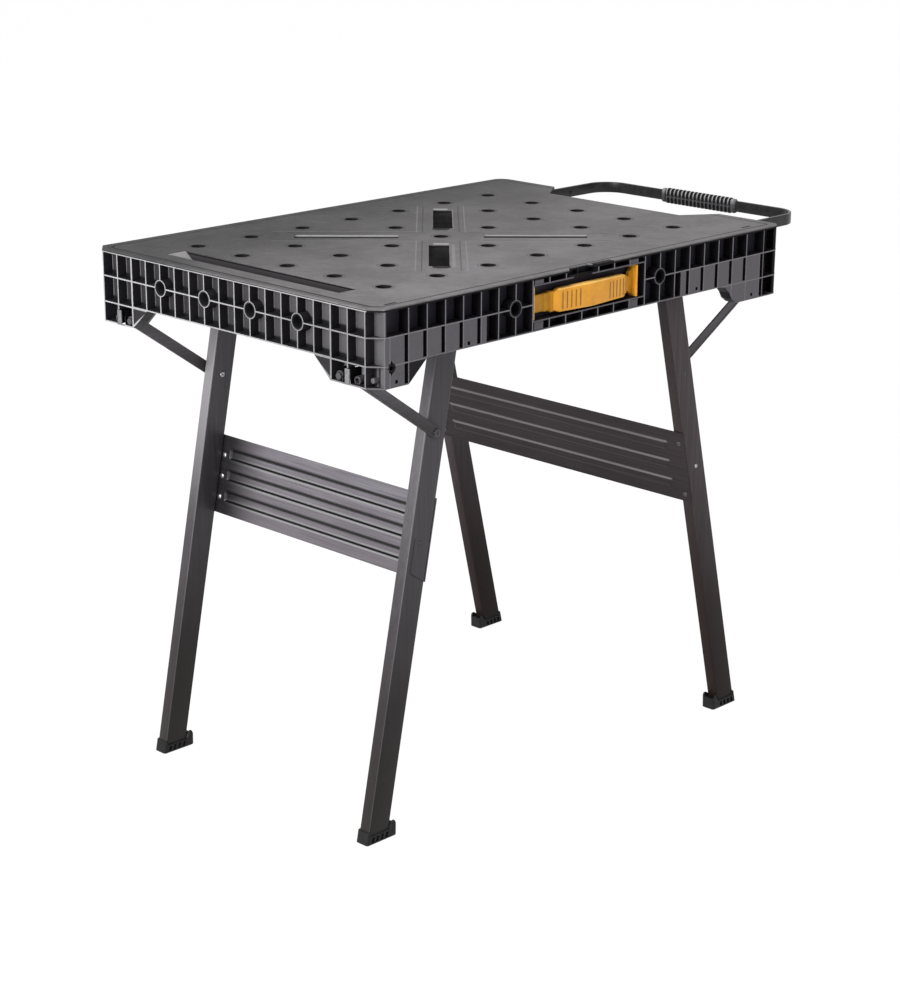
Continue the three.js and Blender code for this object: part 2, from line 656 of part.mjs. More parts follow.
// Leg frames: each has two tubes, a pressed cross panel, two boots, two braces and two sliding pins.
const legFrame = (name, pivotX, pivotDrop, footX, inner, outer, braceOutside) => {
  const sign = Math.sign(pivotX);
  const pivotZ = benchHeight - pivotDrop;
  const lean = Math.atan2(pivotX - footX, pivotZ);
  const slope = Math.abs(pivotX - footX) / pivotZ;
  const frame = group(bench, `${name}_frame`, pivotX, 0, pivotZ, lean);
  const half = tubeWidth / 2;
  const toPivot = (drop) => (drop - pivotDrop) / Math.cos(lean);
  const bracePivot = -toPivot(braceDrop);
  const tubeEnd = -(pivotZ - bootSole - half * Math.abs(Math.sin(lean))) / Math.cos(lean);
  const panelHigh = -toPivot(panelDrop);
  const panelLow = panelHigh - panelHeight;
  const panelMiddle = (panelHigh + panelLow) / 2;
  const inward = -sign;
  const sheetX0 = inward * (half + faceGap);
  const sheetX1 = sheetX0 + inward * panelSheet;
  const braceSide = braceOutside ? outer : inner;
  const braceStep = braceOutside ? 1 : -1;
  const screwDrops = [panelHigh - screwInset, panelLow + screwInset];

  for (const [place, side] of [['front', -1], ['rear', 1]]) {
    const y = (v) => side * v;
    // Tube with bores for its pin, its brace rivet and its panel screws.
    const bores = [
      rodY(pinRadius + faceGap, 0, 0, y(inner - 1), y(outer + 1)),
      rodY(
        rivetRadius + faceGap, 0, bracePivot,
        y(braceSide + braceStep), y(braceSide - braceStep * (tubeWall + 2)),
      ),
      box(
        -half + tubeWall, half - tubeWall, y(inner + tubeWall), y(outer - tubeWall),
        tubeEnd - 1, tubeAbovePivot + 1,
      ),
    ];
    for (const drop of screwDrops) {
      const middle = y((inner + outer) / 2);
      bores.push(rodX(
        screwRadius / 2 + faceGap, middle, drop, inward * (half + 1), inward * (half - tubeWall - 1),
      ));
    }
    const tube = box(-half, half, y(inner), y(outer), tubeEnd, tubeAbovePivot);
    add(frame, `${name}_leg_${place}`, cut([tube], bores), steelCharcoal, 0.5, 0.4);

    // Sliding pin: a headed pin through the tube with a shoe in the slide plate's slot.
    const shoe0 = slideHalfWidth - slidePlate / 2 + faceGap;
    const shoe1 = slideHalfWidth + slidePlate / 2 - faceGap;
    const headFace = braceOutside ? inner - faceGap : outer + faceGap;
    const headStep = braceOutside ? -2 : 2;
    const slider = group(bench, `${name}_slider_${place}_place`, pivotX, 0, pivotZ);
    add(slider, `${name}_slider_${place}`, join([
      rodY(pinRadius, 0, 0, y(headFace + headStep / 2), y(braceOutside ? shoe1 : shoe0)),
      rodY(pinRadius + 3, 0, 0, y(headFace), y(headFace + headStep)),
      box(-shoeLength / 2, shoeLength / 2, y(shoe0), y(shoe1), -shoeHeight / 2, shoeHeight / 2),
    ]), steelBright, 0.4, 0.7);

    // Brace: a flat strip with round ends, riveted to the tube and seated in the corner post.
    const rivetX = pivotX - Math.sin(lean) * -bracePivot;
    const rivetZ = pivotZ - Math.cos(lean) * -bracePivot;
    const seatX = sign * braceSeatX;
    const seatZ = benchHeight - braceSeatDrop;
    const span = Math.hypot(seatX - rivetX, seatZ - rivetZ);
    const rise = Math.atan2(-(seatZ - rivetZ), seatX - rivetX);
    const braceFace = braceSide + braceStep * faceGap;
    const braceBack = braceFace + braceStep * braceThickness;
    const brace = group(bench, `${name}_brace_${place}_place`, rivetX, 0, rivetZ, rise);
    const stadium = new THREE.Shape();
    stadium.absarc(0, 0, braceWidth / 2, Math.PI / 2, 1.5 * Math.PI, false);
    stadium.absarc(span, 0, braceWidth / 2, -Math.PI / 2, Math.PI / 2, false);
    const flat = [y(braceFace), y(braceBack)].sort((a, b) => a - b);
    const eye = rodY(rivetRadius + faceGap, 0, 0, y(braceFace - 2 * braceStep), y(braceBack + 2 * braceStep));
    add(brace, `${name}_brace_${place}`, join([
      cut([prismY(stadium, ...flat)], [eye]),
      rodY(rivetRadius, span, 0, y(braceFace + braceStep), y(braceFace - 3 * braceStep)),
      rodY(rivetRadius, span, 0, y(braceFace + braceStep), y(braceBack + 3 * braceStep)),
    ]), steelCharcoal, 0.5, 0.4);

    // Brace rivet: held by the tube, with its head over the brace.
    const rivet = group(bench, `${name}_brace_rivet_${place}_place`, rivetX, 0, rivetZ);
    add(rivet, `${name}_brace_rivet_${place}`, join([
      rodY(
        rivetRadius, 0, 0,
        y(braceBack + braceStep * rivetHead / 2), y(braceSide - braceStep * (tubeWall + 1)),
      ),
      rodY(rivetHeadRadius, 0, 0, y(braceBack), y(braceBack + braceStep * rivetHead)),
    ]), steelBright, 0.4, 0.7);

    // Panel screws: through the panel into the tube's inner wall.
    screwDrops.forEach((drop, index) => {
      const middle = y((inner + outer) / 2);
      add(frame, `${name}_screw_${place}_${index + 1}`, join([
        rodX(
          screwRadius / 2, middle, drop,
          sheetX1 + inward * screwHead / 2, inward * (half - tubeWall - 1), 12,
        ),
        rodX(screwRadius, middle, drop, sheetX1, sheetX1 + inward * screwHead, 12),
      ]), steelBright, 0.4, 0.7);
    });

    // Boot: a moulded foot with a flat sole, a toe towards the middle and a socket for the tube.
    const socket = solid(box(
      -half - faceGap, half + faceGap, y(inner - faceGap), y(outer + faceGap),
      tubeEnd - faceGap, tubeAbovePivot,
    ).rotateY(lean).translate(pivotX, 0, pivotZ));
    const sideHalf = half / Math.cos(lean) + bootWall;
    const centreAt = (z) => footX - sign * slope * z;
    const toe = centreAt(0) + inward * (sideHalf + bootToe);
    const heel = centreAt(0) - inward * sideHalf;
    const soft = bootToeHeight * 0.35;
    const bootShape = outline([
      [heel, 0], [toe, 0], [toe, bootToeHeight - soft], [toe - inward * soft, bootToeHeight],
      [centreAt(bootToeHeight) + inward * sideHalf, bootToeHeight],
      [centreAt(bootHeight) + inward * sideHalf, bootHeight],
      [centreAt(bootHeight) - inward * sideHalf, bootHeight],
    ]);
    const wide = [y(inner - bootWall), y(outer + bootWall)].sort((a, b) => a - b);
    const boot = solid(prismY(bootShape, ...wide)).subtract(socket);
    add(bench, `${name}_foot_${place}`, surface(boot), bootBlack, 0.7);
  }

  // Cross panel: a sheet on the inner faces of both tubes, with three long beads pressed towards -X.
  const beadGap = panelHeight / (panelBeads + 1);
  const beadHalf = inner - panelBeadEnd;
  const beadRoot = Math.min(sheetX0, sheetX1) + panelSheet / 2;
  const beadTop = Math.min(sheetX0, sheetX1) - panelBead;
  const pressed = [box(sheetX0, sheetX1, -outer, outer, panelLow, panelHigh)];
  for (let bead = 0; bead < panelBeads; bead += 1) {
    const z = panelHigh - (bead + 1) * beadGap;
    const ridge = outline([[beadRoot, z + 6], [beadTop, z + 2], [beadTop, z - 2], [beadRoot, z - 6]]);
    pressed.push(prismY(ridge, -beadHalf, beadHalf));
  }
  const holes = [];
  for (const drop of screwDrops) {
    for (const side of [-1, 1]) {
      const middle = side * (inner + outer) / 2;
      holes.push(rodX(
        screwRadius / 2 + faceGap, middle, drop, sheetX0 - inward, sheetX1 + inward * (panelBead + 1),
      ));
    }
  }
  add(frame, `${name}_panel`, cut(pressed, holes), steelCharcoal, 0.45, 0.5);
};
legFrame('left', leftPivotX, leftPivotDrop, leftFootX, leftTubeInner, leftTubeOuter, true);
legFrame('right', rightPivotX, rightPivotDrop, rightFootX, rightTubeInner, rightTubeOuter, false);

// The origin is the middle of the bench's footprint, pull handle included.
bench.position.x = -(pullOuterX + pullGripThickness / 2 - pullStripThickness / 2 - halfLength) / 2;

export default bench;
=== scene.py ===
import json
import math
import bmesh
import bpy
import numpy as np
from mathutils import Matrix, Vector


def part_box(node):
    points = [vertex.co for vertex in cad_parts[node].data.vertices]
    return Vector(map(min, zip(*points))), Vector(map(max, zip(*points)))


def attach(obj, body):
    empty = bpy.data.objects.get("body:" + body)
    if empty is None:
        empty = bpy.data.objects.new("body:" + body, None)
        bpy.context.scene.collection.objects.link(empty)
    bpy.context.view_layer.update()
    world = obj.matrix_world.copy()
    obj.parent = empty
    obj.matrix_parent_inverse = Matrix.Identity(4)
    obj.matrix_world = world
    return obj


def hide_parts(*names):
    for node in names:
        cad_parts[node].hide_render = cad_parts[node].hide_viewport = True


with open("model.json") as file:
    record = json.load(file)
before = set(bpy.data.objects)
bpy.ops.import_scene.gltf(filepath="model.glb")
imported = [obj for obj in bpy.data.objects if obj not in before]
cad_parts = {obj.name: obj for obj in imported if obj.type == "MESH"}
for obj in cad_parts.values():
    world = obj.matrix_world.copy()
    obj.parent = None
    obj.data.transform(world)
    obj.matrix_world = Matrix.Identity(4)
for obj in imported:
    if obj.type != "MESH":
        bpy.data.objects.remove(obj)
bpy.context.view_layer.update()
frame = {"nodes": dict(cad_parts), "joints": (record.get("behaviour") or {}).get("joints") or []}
nodes = frame["nodes"]
scene = bpy.context.scene
scene.view_settings.view_transform = "Standard"
jointPlace = {j["name"]: np.array(j["pos_m"]) for j in frame["joints"] if "pos_m" in j}
topMiddleX = 0.5 * (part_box("worktop_deck")[0].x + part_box("worktop_deck")[1].x)
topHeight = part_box("worktop_deck")[1].z
print("frame loaded:", len(nodes), "nodes")

# camera: the photograph's place and angle, for an image of 900 x 1000
cameraSpec = {
    "place": (-2.5194, -2.3957, 1.4532), "forward": (0.6801, 0.6684, -0.3012),
    "right": (0.7018, -0.7124, 0.0039), "focalPixels": 2284.6, "imageHeight": 1000.0, "sensor": 36.0,
}
forward = Vector(cameraSpec["forward"]).normalized()
right = Vector(cameraSpec["right"])
right = (right - forward * right.dot(forward)).normalized()
upward = right.cross(forward)
cameraData = bpy.data.cameras.new("benchCamera")
cameraData.sensor_fit = "VERTICAL"
cameraData.sensor_height = cameraSpec["sensor"]
cameraData.lens = cameraSpec["focalPixels"] * cameraSpec["sensor"] / cameraSpec["imageHeight"]
cameraData.clip_end = 200.0
camera = bpy.data.objects.new("benchCamera", cameraData)
camera.matrix_world = Matrix((
    (right.x, upward.x, -forward.x, cameraSpec["place"][0]),
    (right.y, upward.y, -forward.y, cameraSpec["place"][1]),
    (right.z, upward.z, -forward.z, cameraSpec["place"][2]),
    (0.0, 0.0, 0.0, 1.0)))
scene.collection.objects.link(camera)
scene.camera = camera
print("camera set, lens", round(cameraData.lens, 2))


# nodes: small helpers so that each finish below reads as a recipe
def newFinish(name):
    material = bpy.data.materials.new(name)
    material.use_nodes = True
    tree = material.node_tree
    tree.nodes.clear()
    out = tree.nodes.new("ShaderNodeOutputMaterial")
    shader = tree.nodes.new("ShaderNodeBsdfPrincipled")
    tree.links.new(shader.outputs["BSDF"], out.inputs["Surface"])
    return material, tree, shader


def feed(tree, socket, value):
    if isinstance(value, bpy.types.NodeSocket):
        tree.links.new(value, socket)
    else:
        socket.default_value = value


def calc(tree, operation, first, second=0.0, clamp=False):
    step = tree.nodes.new("ShaderNodeMath")
    step.operation = operation
    step.use_clamp = clamp
    feed(tree, step.inputs[0], first)
    feed(tree, step.inputs[1], second)
    return step.outputs[0]


def ramp(tree, value, low, high, toLow=0.0, toHigh=1.0):
    step = tree.nodes.new("ShaderNodeMapRange")
    step.interpolation_type = "SMOOTHSTEP"
    feed(tree, step.inputs[0], value)
    for slot, number in zip((1, 2, 3, 4), (low, high, toLow, toHigh)):
        step.inputs[slot].default_value = number
    return step.outputs[0]


def blendColor(tree, factor, first, second):
    step = tree.nodes.new("ShaderNodeMix")
    step.data_type = "RGBA"
    feed(tree, step.inputs[0], factor)
    feed(tree, step.inputs[6], first if isinstance(first, bpy.types.NodeSocket) else (*first, 1.0))
    feed(tree, step.inputs[7], second if isinstance(second, bpy.types.NodeSocket) else (*second, 1.0))
    return step.outputs[2]


def place(tree, shift=(0, 0, 0), turn=(0, 0, 0), scale=(1, 1, 1)):
    coordinate = tree.nodes.new("ShaderNodeTexCoord")
    mapping = tree.nodes.new("ShaderNodeMapping")
    tree.links.new(coordinate.outputs["Object"], mapping.inputs["Vector"])
    mapping.inputs["Location"].default_value = shift
    mapping.inputs["Rotation"].default_value = turn
    mapping.inputs["Scale"].default_value = scale
    return mapping.outputs["Vector"]


def split(tree, vector):
    step = tree.nodes.new("ShaderNodeSeparateXYZ")
    tree.links.new(vector, step.inputs[0])
    return step.outputs


def noise(tree, vector, scale, detail=3.0, roughness=0.55):
    step = tree.nodes.new("ShaderNodeTexNoise")
    tree.links.new(vector, step.inputs["Vector"])
    step.inputs["Scale"].default_value = scale
    step.inputs["Detail"].default_value = detail
    step.inputs["Roughness"].default_value = roughness
    return step.outputs["Fac"]


def relief(tree, shader, layers):
    # stacks bump nodes, each (height socket, depth in metres, strength)
    normal = None
    for height, depth, strength in layers:
        step = tree.nodes.new("ShaderNodeBump")
        step.inputs["Strength"].default_value = strength
        step.inputs["Distance"].default_value = depth
        tree.links.new(height, step.inputs["Height"])
        if normal is not None:
            tree.links.new(normal, step.inputs["Normal"])
        normal = step.outputs["Normal"]
    tree.links.new(normal, shader.inputs["Normal"])


def edgeDistance(tree, x, y, halfX, halfY, radius):
    # signed distance to a rounded rectangle: length of the positive part of (|x|-a, |y|-b), less the radius
    outX = calc(tree, "SUBTRACT", calc(tree, "ABSOLUTE", x), halfX - radius)
    outY = calc(tree, "SUBTRACT", calc(tree, "ABSOLUTE", y), halfY - radius)
    posX = calc(tree, "MAXIMUM", outX, 0.0)
    posY = calc(tree, "MAXIMUM", outY, 0.0)
    far = calc(tree, "SQRT", calc(tree, "ADD", calc(tree, "MULTIPLY", posX, posX),
                                  calc(tree, "MULTIPLY", posY, posY)))
    near = calc(tree, "MINIMUM", calc(tree, "MAXIMUM", outX, outY), 0.0)
    return calc(tree, "SUBTRACT", calc(tree, "ADD", far, near), radius)


def shellDistance(tree, x, y):
    # plan of the top: a rounded rectangle whose left corners are cut by a slanted line
    slant = calc(tree, "ADD", calc(tree, "MULTIPLY", calc(tree, "SUBTRACT", -0.436, x), 0.734),
                 calc(tree, "MULTIPLY", calc(tree, "SUBTRACT", calc(tree, "ABSOLUTE", y), 0.280), 0.679))
    return calc(tree, "MAXIMUM", edgeDistance(tree, x, y, 0.436, 0.300, 0.020), slant)


def lineMask(tree, distance, at, width):
    # 1 on the line where distance equals at, falling to 0 at half a width either side
    off = calc(tree, "ABSOLUTE", calc(tree, "SUBTRACT", distance, at))
    return ramp(tree, off, width * 0.25, width * 0.75, 1.0, 0.0)


# deck: satin grey moulding with a painted sheen that is lighter towards the working side, and engraved lines and rings
deckFinish = {
    "far": ((0.0300, 0.0285, 0.0300), (0.0550, 0.0530, 0.0545)), "near": ((0.1135, 0.1090, 0.1115), (0.1755, 0.1700, 0.1735)),
    "lineColor": (0.007, 0.0066, 0.0071), "edgeColor": (0.006, 0.0058, 0.0062), "paleColor": (0.26, 0.255, 0.262),
    "roughness": (0.58, 0.74),
    "specular": 0.10, "grainScale": 1300.0, "borderInset": 0.0150, "borderWidth": 0.0026, "endWidth": 0.0046, "secondInset": 0.0085,
    "ringRadius": 0.0150, "ringWidth": 0.0016, "holePitch": (0.103, 0.0985), "holeMiddle": -0.014,
    "bandOffsets": (0.0280, 0.0370), "bandReach": 0.112, "lip": (0.0786, 0.0900, 0.0110), "sideBand": (0.0156, 0.0200),
    "nearEnd": (-0.0940, -0.0760, 0.0130), "rim": 0.0122, "notch": (-0.0050, 0.0360, -0.2905),
    "slotMarks": ((-0.3896, -0.2790), (0.377, -0.2745)),
}


def makeDeckFinish(spec):
    material, tree, shader = newFinish("deckSatin")
    here = place(tree, shift=(-topMiddleX, 0, 0))
    x, y, z = split(tree, here)
    mottle = noise(tree, here, 9.0, 4.0)
    cloud = noise(tree, here, 60.0, 4.0, 0.65)
    grain = noise(tree, here, spec["grainScale"], 2.0, 0.6)
    tone = calc(tree, "ADD", calc(tree, "MULTIPLY", mottle, 0.5), calc(tree, "MULTIPLY", cloud, 0.5))
    tone = ramp(tree, tone, 0.36, 0.66)
    # painted sheen: the colour grows lighter towards the near side, standing in for the lights' reflection
    paintedSheen = ramp(tree, calc(tree, "SUBTRACT", calc(tree, "MULTIPLY", x, 0.2), y), -0.36, 0.18)
    color = blendColor(tree, paintedSheen, blendColor(tree, tone, *spec["far"]), blendColor(tree, tone, *spec["near"]))
    color = blendColor(tree, ramp(tree, grain, 0.35, 0.75, 0.0, 0.35), color, spec["far"][0])
    # brushed look: noise drawn out along one diagonal
    drawn = tree.nodes.new("ShaderNodeCombineXYZ")
    feed(tree, drawn.inputs[0], calc(tree, "MULTIPLY", calc(tree, "SUBTRACT", x, y), 26.0))
    feed(tree, drawn.inputs[1], calc(tree, "MULTIPLY", calc(tree, "ADD", x, y), 110.0))
    brushed = noise(tree, drawn.outputs[0], 1.0, 4.0, 0.7)
    color = blendColor(tree, ramp(tree, brushed, 0.52, 0.76, 0.0, 0.45), color, spec["far"][0])
    color = blendColor(tree, ramp(tree, brushed, 0.44, 0.24, 0.0, 0.30), color, spec["paleColor"])
    border = shellDistance(tree, x, y)
    lines = lineMask(tree, border, -spec["borderInset"], spec["borderWidth"])
    atLeft = calc(tree, "LESS_THAN", x, -0.412)
    endLine = lineMask(tree, border, -spec["borderInset"], spec["endWidth"])
    second = calc(tree, "MULTIPLY", lineMask(tree, border, -spec["secondInset"], 0.0026), 0.6)
    second = calc(tree, "MULTIPLY", calc(tree, "MAXIMUM", endLine, second), atLeft)
    lines = calc(tree, "MAXIMUM", lines, second)
    for markX, markY in spec["slotMarks"]:
        slotX = calc(tree, "ABSOLUTE", calc(tree, "SUBTRACT", x, markX))
        slotY = calc(tree, "ABSOLUTE", calc(tree, "SUBTRACT", y, markY))
        slot = calc(tree, "MULTIPLY", ramp(tree, slotX, 0.0100, 0.0108, 1.0, 0.0),
                    ramp(tree, slotY, 0.0021, 0.0031, 1.0, 0.0))
        lines = calc(tree, "MAXIMUM", lines, slot)
    gridX = calc(tree, "SUBTRACT", x, spec["holeMiddle"])
    cellX = calc(tree, "PINGPONG", calc(tree, "ADD", gridX, 10 * spec["holePitch"][0]), 0.5 * spec["holePitch"][0])
    cellY = calc(tree, "PINGPONG", calc(tree, "ADD", y, 10 * spec["holePitch"][1]), 0.5 * spec["holePitch"][1])
    away = calc(tree, "SQRT", calc(tree, "ADD", calc(tree, "MULTIPLY", cellX, cellX),
                                   calc(tree, "MULTIPLY", cellY, cellY)))
    onGrid = calc(tree, "MULTIPLY", calc(tree, "LESS_THAN", calc(tree, "ABSOLUTE", gridX), 0.345),
                  calc(tree, "LESS_THAN", calc(tree, "ABSOLUTE", y), 0.235))
    rings = calc(tree, "MULTIPLY", lineMask(tree, away, spec["ringRadius"], spec["ringWidth"]), onGrid)
    rims = calc(tree, "MULTIPLY", ramp(tree, away, spec["rim"] - 0.0006, spec["rim"], 1.0, 0.0), onGrid)
    # diagonal bands: across is the distance from the line through two slots, along is measured from the middle
    rise = calc(tree, "MULTIPLY", calc(tree, "ADD", gridX, y), math.sqrt(0.5))
    fall = calc(tree, "MULTIPLY", calc(tree, "SUBTRACT", gridX, y), math.sqrt(0.5))
    bands, pales = [], []
    for along, across in ((rise, fall), (fall, rise)):
        width = calc(tree, "ABSOLUTE", across)
        reach = calc(tree, "ABSOLUTE", calc(tree, "SUBTRACT", calc(tree, "ABSOLUTE", along), 0.143))
        inReach = calc(tree, "LESS_THAN", reach, spec["bandReach"])
        for offset, kind in zip(spec["bandOffsets"], (bands, pales)):
            kind.append(calc(tree, "MULTIPLY", lineMask(tree, width, offset, 0.0018), inReach))
    bands = calc(tree, "MAXIMUM", *bands)
    # pale lips, a painted highlight: beyond the far end of each window and along its right side; the faint pale lines
    # beside the bands are painted highlight too
    centre = calc(tree, "SUBTRACT", calc(tree, "ABSOLUTE", rise), 0.1425)
    beyond = calc(tree, "MULTIPLY", centre, calc(tree, "SIGN", rise))
    lip = calc(tree, "MULTIPLY", ramp(tree, beyond, spec["lip"][0] - 0.0004, spec["lip"][0]),
               ramp(tree, beyond, spec["lip"][1], spec["lip"][1] + 0.001, 1.0, 0.0))
    lip = calc(tree, "MULTIPLY", lip, ramp(tree, calc(tree, "ABSOLUTE", fall), spec["lip"][2], spec["lip"][2] + 0.001, 1.0, 0.0))
    band = calc(tree, "MULTIPLY", calc(tree, "GREATER_THAN", fall, spec["sideBand"][0]), calc(tree, "LESS_THAN", fall, spec["sideBand"][1]))
    band = calc(tree, "MULTIPLY", band, calc(tree, "LESS_THAN", calc(tree, "ABSOLUTE", centre), 0.080))
    pales = calc(tree, "MULTIPLY", calc(tree, "MAXIMUM", calc(tree, "MAXIMUM", *pales), band), 0.34)
    pales = calc(tree, "MAXIMUM", pales, lip)
    # painted shade beyond the near end of each window, its corners cut, in the hand notch and in a dark rim round each
    # dog hole
    nearWidth = calc(tree, "SUBTRACT", spec["nearEnd"][2], calc(tree, "MAXIMUM", calc(tree, "SUBTRACT", spec["nearEnd"][0] + 0.006, beyond), 0.0))
    shades = calc(tree, "MULTIPLY", calc(tree, "GREATER_THAN", nearWidth, calc(tree, "ABSOLUTE", fall)),
                  calc(tree, "MULTIPLY", calc(tree, "GREATER_THAN", beyond, spec["nearEnd"][0]), calc(tree, "LESS_THAN", beyond, spec["nearEnd"][1])))
    shades = calc(tree, "MULTIPLY", shades, calc(tree, "LESS_THAN", calc(tree, "ABSOLUTE", centre), 0.1000))
    notch = calc(tree, "MULTIPLY", calc(tree, "GREATER_THAN", x, spec["notch"][0]), calc(tree, "LESS_THAN", x, spec["notch"][1]))
    notch = calc(tree, "MULTIPLY", notch, calc(tree, "LESS_THAN", y, spec["notch"][2]))
    shades = calc(tree, "MAXIMUM", calc(tree, "MAXIMUM", shades, notch), rims)
    # the engraved lines, slot marks, rings and bands are drawn dark: painted shade in their grooves
    faint = calc(tree, "MAXIMUM", calc(tree, "MULTIPLY", rings, 0.55), calc(tree, "MULTIPLY", bands, 0.45))
    marks = calc(tree, "MAXIMUM", lines, faint)
    up = ramp(tree, z, topHeight - 0.0012, topHeight - 0.0004)
    marks = calc(tree, "MULTIPLY", marks, up)
    color = blendColor(tree, calc(tree, "MULTIPLY", pales, up), color, spec["paleColor"])
    color = blendColor(tree, calc(tree, "MULTIPLY", marks, 0.95), color, spec["lineColor"])
    color = blendColor(tree, shades, color, spec["edgeColor"])
    # the deck's side below its top is coloured near black; on the left end a pale band under the top edge is a painted
    # highlight
    below = ramp(tree, z, topHeight - 0.0019, topHeight - 0.0013)
    paleEdge = calc(tree, "MULTIPLY", ramp(tree, z, topHeight - 0.0029, topHeight - 0.0024, 1.0, 0.0), calc(tree, "LESS_THAN", x, -0.4350))
    color = blendColor(tree, below, blendColor(tree, paleEdge, spec["edgeColor"], spec["paleColor"]), color)
    feed(tree, shader.inputs["Base Color"], color)
    feed(tree, shader.inputs["Roughness"], ramp(tree, cloud, 0.3, 0.7, *spec["roughness"]))
    shader.inputs["Specular IOR Level"].default_value = spec["specular"]
    relief(tree, shader, ((grain, 0.00025, 0.35), (calc(tree, "SUBTRACT", 1.0, marks), 0.0006, 0.8)))
    return material


# troughs: grey where the light reaches, dark with depth; shade darkens the side of a trough that faces away
troughFinish = {"light": (0.23, 0.225, 0.229), "deep": (0.010, 0.0095, 0.0102), "roughness": (0.45, 0.6)}
trayFinish = {"light": (0.24, 0.235, 0.239), "deep": (0.030, 0.0285, 0.0300), "roughness": (0.50, 0.66)}


def makeTroughFinish(name, spec, fadeTop, fadeLow, shadeFrom=None, shadeTo=None):
    material, tree, shader = newFinish(name)
    here = place(tree, shift=(-topMiddleX, 0, 0))
    x, y, z = split(tree, here)
    cloud = noise(tree, here, 60.0, 4.0, 0.65)
    grain = noise(tree, here, 1300.0, 2.0)
    lit = ramp(tree, z, topHeight - fadeLow, topHeight - fadeTop)
    if shadeFrom is not None:
        lit = calc(tree, "MULTIPLY", lit, ramp(tree, x, shadeFrom, shadeTo, 1.0, 0.0))
    lit = calc(tree, "MULTIPLY", lit, ramp(tree, cloud, 0.3, 0.7, 0.86, 1.0))
    feed(tree, shader.inputs["Base Color"], blendColor(tree, lit, spec["deep"], spec["light"]))
    feed(tree, shader.inputs["Roughness"], ramp(tree, cloud, 0.3, 0.7, *spec["roughness"]))
    shader.inputs["Specular IOR Level"].default_value = 0.12
    relief(tree, shader, ((grain, 0.00025, 0.3),))
    return material


# skirt: black moulding with painted light; rib edges on the end carry a pale painted highlight, those on the sides a
# dim one, and end cells have a pale back that is painted light
skirtFinish = {
    "cell": (0.0135, 0.0125, 0.0145), "wall": (0.0215, 0.0200, 0.0230), "endEdge": (0.27, 0.265, 0.272), "endNear": (0.150, 0.146, 0.152),
    "sideFace": (0.082, 0.075, 0.087), "sideLine": (0.17, 0.165, 0.173), "deep": (0.0045, 0.0040, 0.0052), "backWall": (0.20, 0.196, 0.202), "sideBack": (0.036, 0.0325, 0.043),
    "roughness": (0.34, 0.50), "specular": (0.08, 0.40), "planeDepth": 0.0004, "sidePitch": 0.0345, "sideStart": -0.37625,
    "endPitch": 0.0326, "endStart": -0.2119, "rowHeight": 0.0387, "keyhole": (-0.4077, 0.0806, 0.0068),
    "ringInner": 0.0112, "gussetEdge": (0.1778, 0.0798, 1.315), "sideBosses": (-0.16925, 0.14125),
}
cellBackFinish = {"dark": (0.008, 0.0075, 0.0085), "middle": (0.026, 0.0248, 0.0268), "bright": (0.120, 0.116, 0.122), "brightFrom": 0.87,
                  "near": (0.070, 0.067, 0.071)}


# cell backs: painted light, brightest beside the next rib along +Y and paler towards the front, with painted shade at
# the foot of each row and inside the ring bosses
def makeCellBackFinish(spec, rib):
    material, tree, shader = newFinish("cellBackGrey")
    here = place(tree, shift=(-topMiddleX, 0, 0))
    x, y, z = split(tree, here)
    drop = calc(tree, "SUBTRACT", topHeight, z)
    across = calc(tree, "FRACT", calc(tree, "MULTIPLY", calc(tree, "SUBTRACT", y, rib["endStart"] - 20 * rib["endPitch"]), 1 / rib["endPitch"]))
    above = calc(tree, "SUBTRACT", rib["rowHeight"], calc(tree, "MODULO", drop, rib["rowHeight"]))
    cloud = noise(tree, here, 60.0, 3.0)
    streakPlace = place(tree, scale=(300, 300, 12))
    streak = noise(tree, streakPlace, 1.0, 3.0)
    middle = blendColor(tree, ramp(tree, y, 0.10, -0.24), spec["middle"], spec["near"])
    color = blendColor(tree, ramp(tree, across, spec["brightFrom"], spec["brightFrom"] + 0.05), middle, spec["bright"])
    color = blendColor(tree, ramp(tree, streak, 0.35, 0.7, 0.0, 0.5), color, middle)
    color = blendColor(tree, ramp(tree, above, 0.0050, 0.0085), spec["dark"], color)
    row = calc(tree, "SUBTRACT", drop, rib["rowHeight"])
    away = calc(tree, "PINGPONG", calc(tree, "ADD", y, 28 * rib["endPitch"] - rib["endStart"]), 1.5 * rib["endPitch"])
    away = calc(tree, "ADD", away, calc(tree, "GREATER_THAN", calc(tree, "ABSOLUTE", y), 0.2150))
    ring = calc(tree, "SQRT", calc(tree, "ADD", calc(tree, "MULTIPLY", away, away), calc(tree, "MULTIPLY", row, row)))
    color = blendColor(tree, ramp(tree, ring, 0.0135, 0.0145), spec["dark"], color)
    feed(tree, shader.inputs["Base Color"], color)
    feed(tree, shader.inputs["Roughness"], ramp(tree, cloud, 0.3, 0.7, 0.36, 0.52))
    shader.inputs["Specular IOR Level"].default_value = 0.15
    relief(tree, shader, ((streak, 0.0002, 0.2),))
    return material



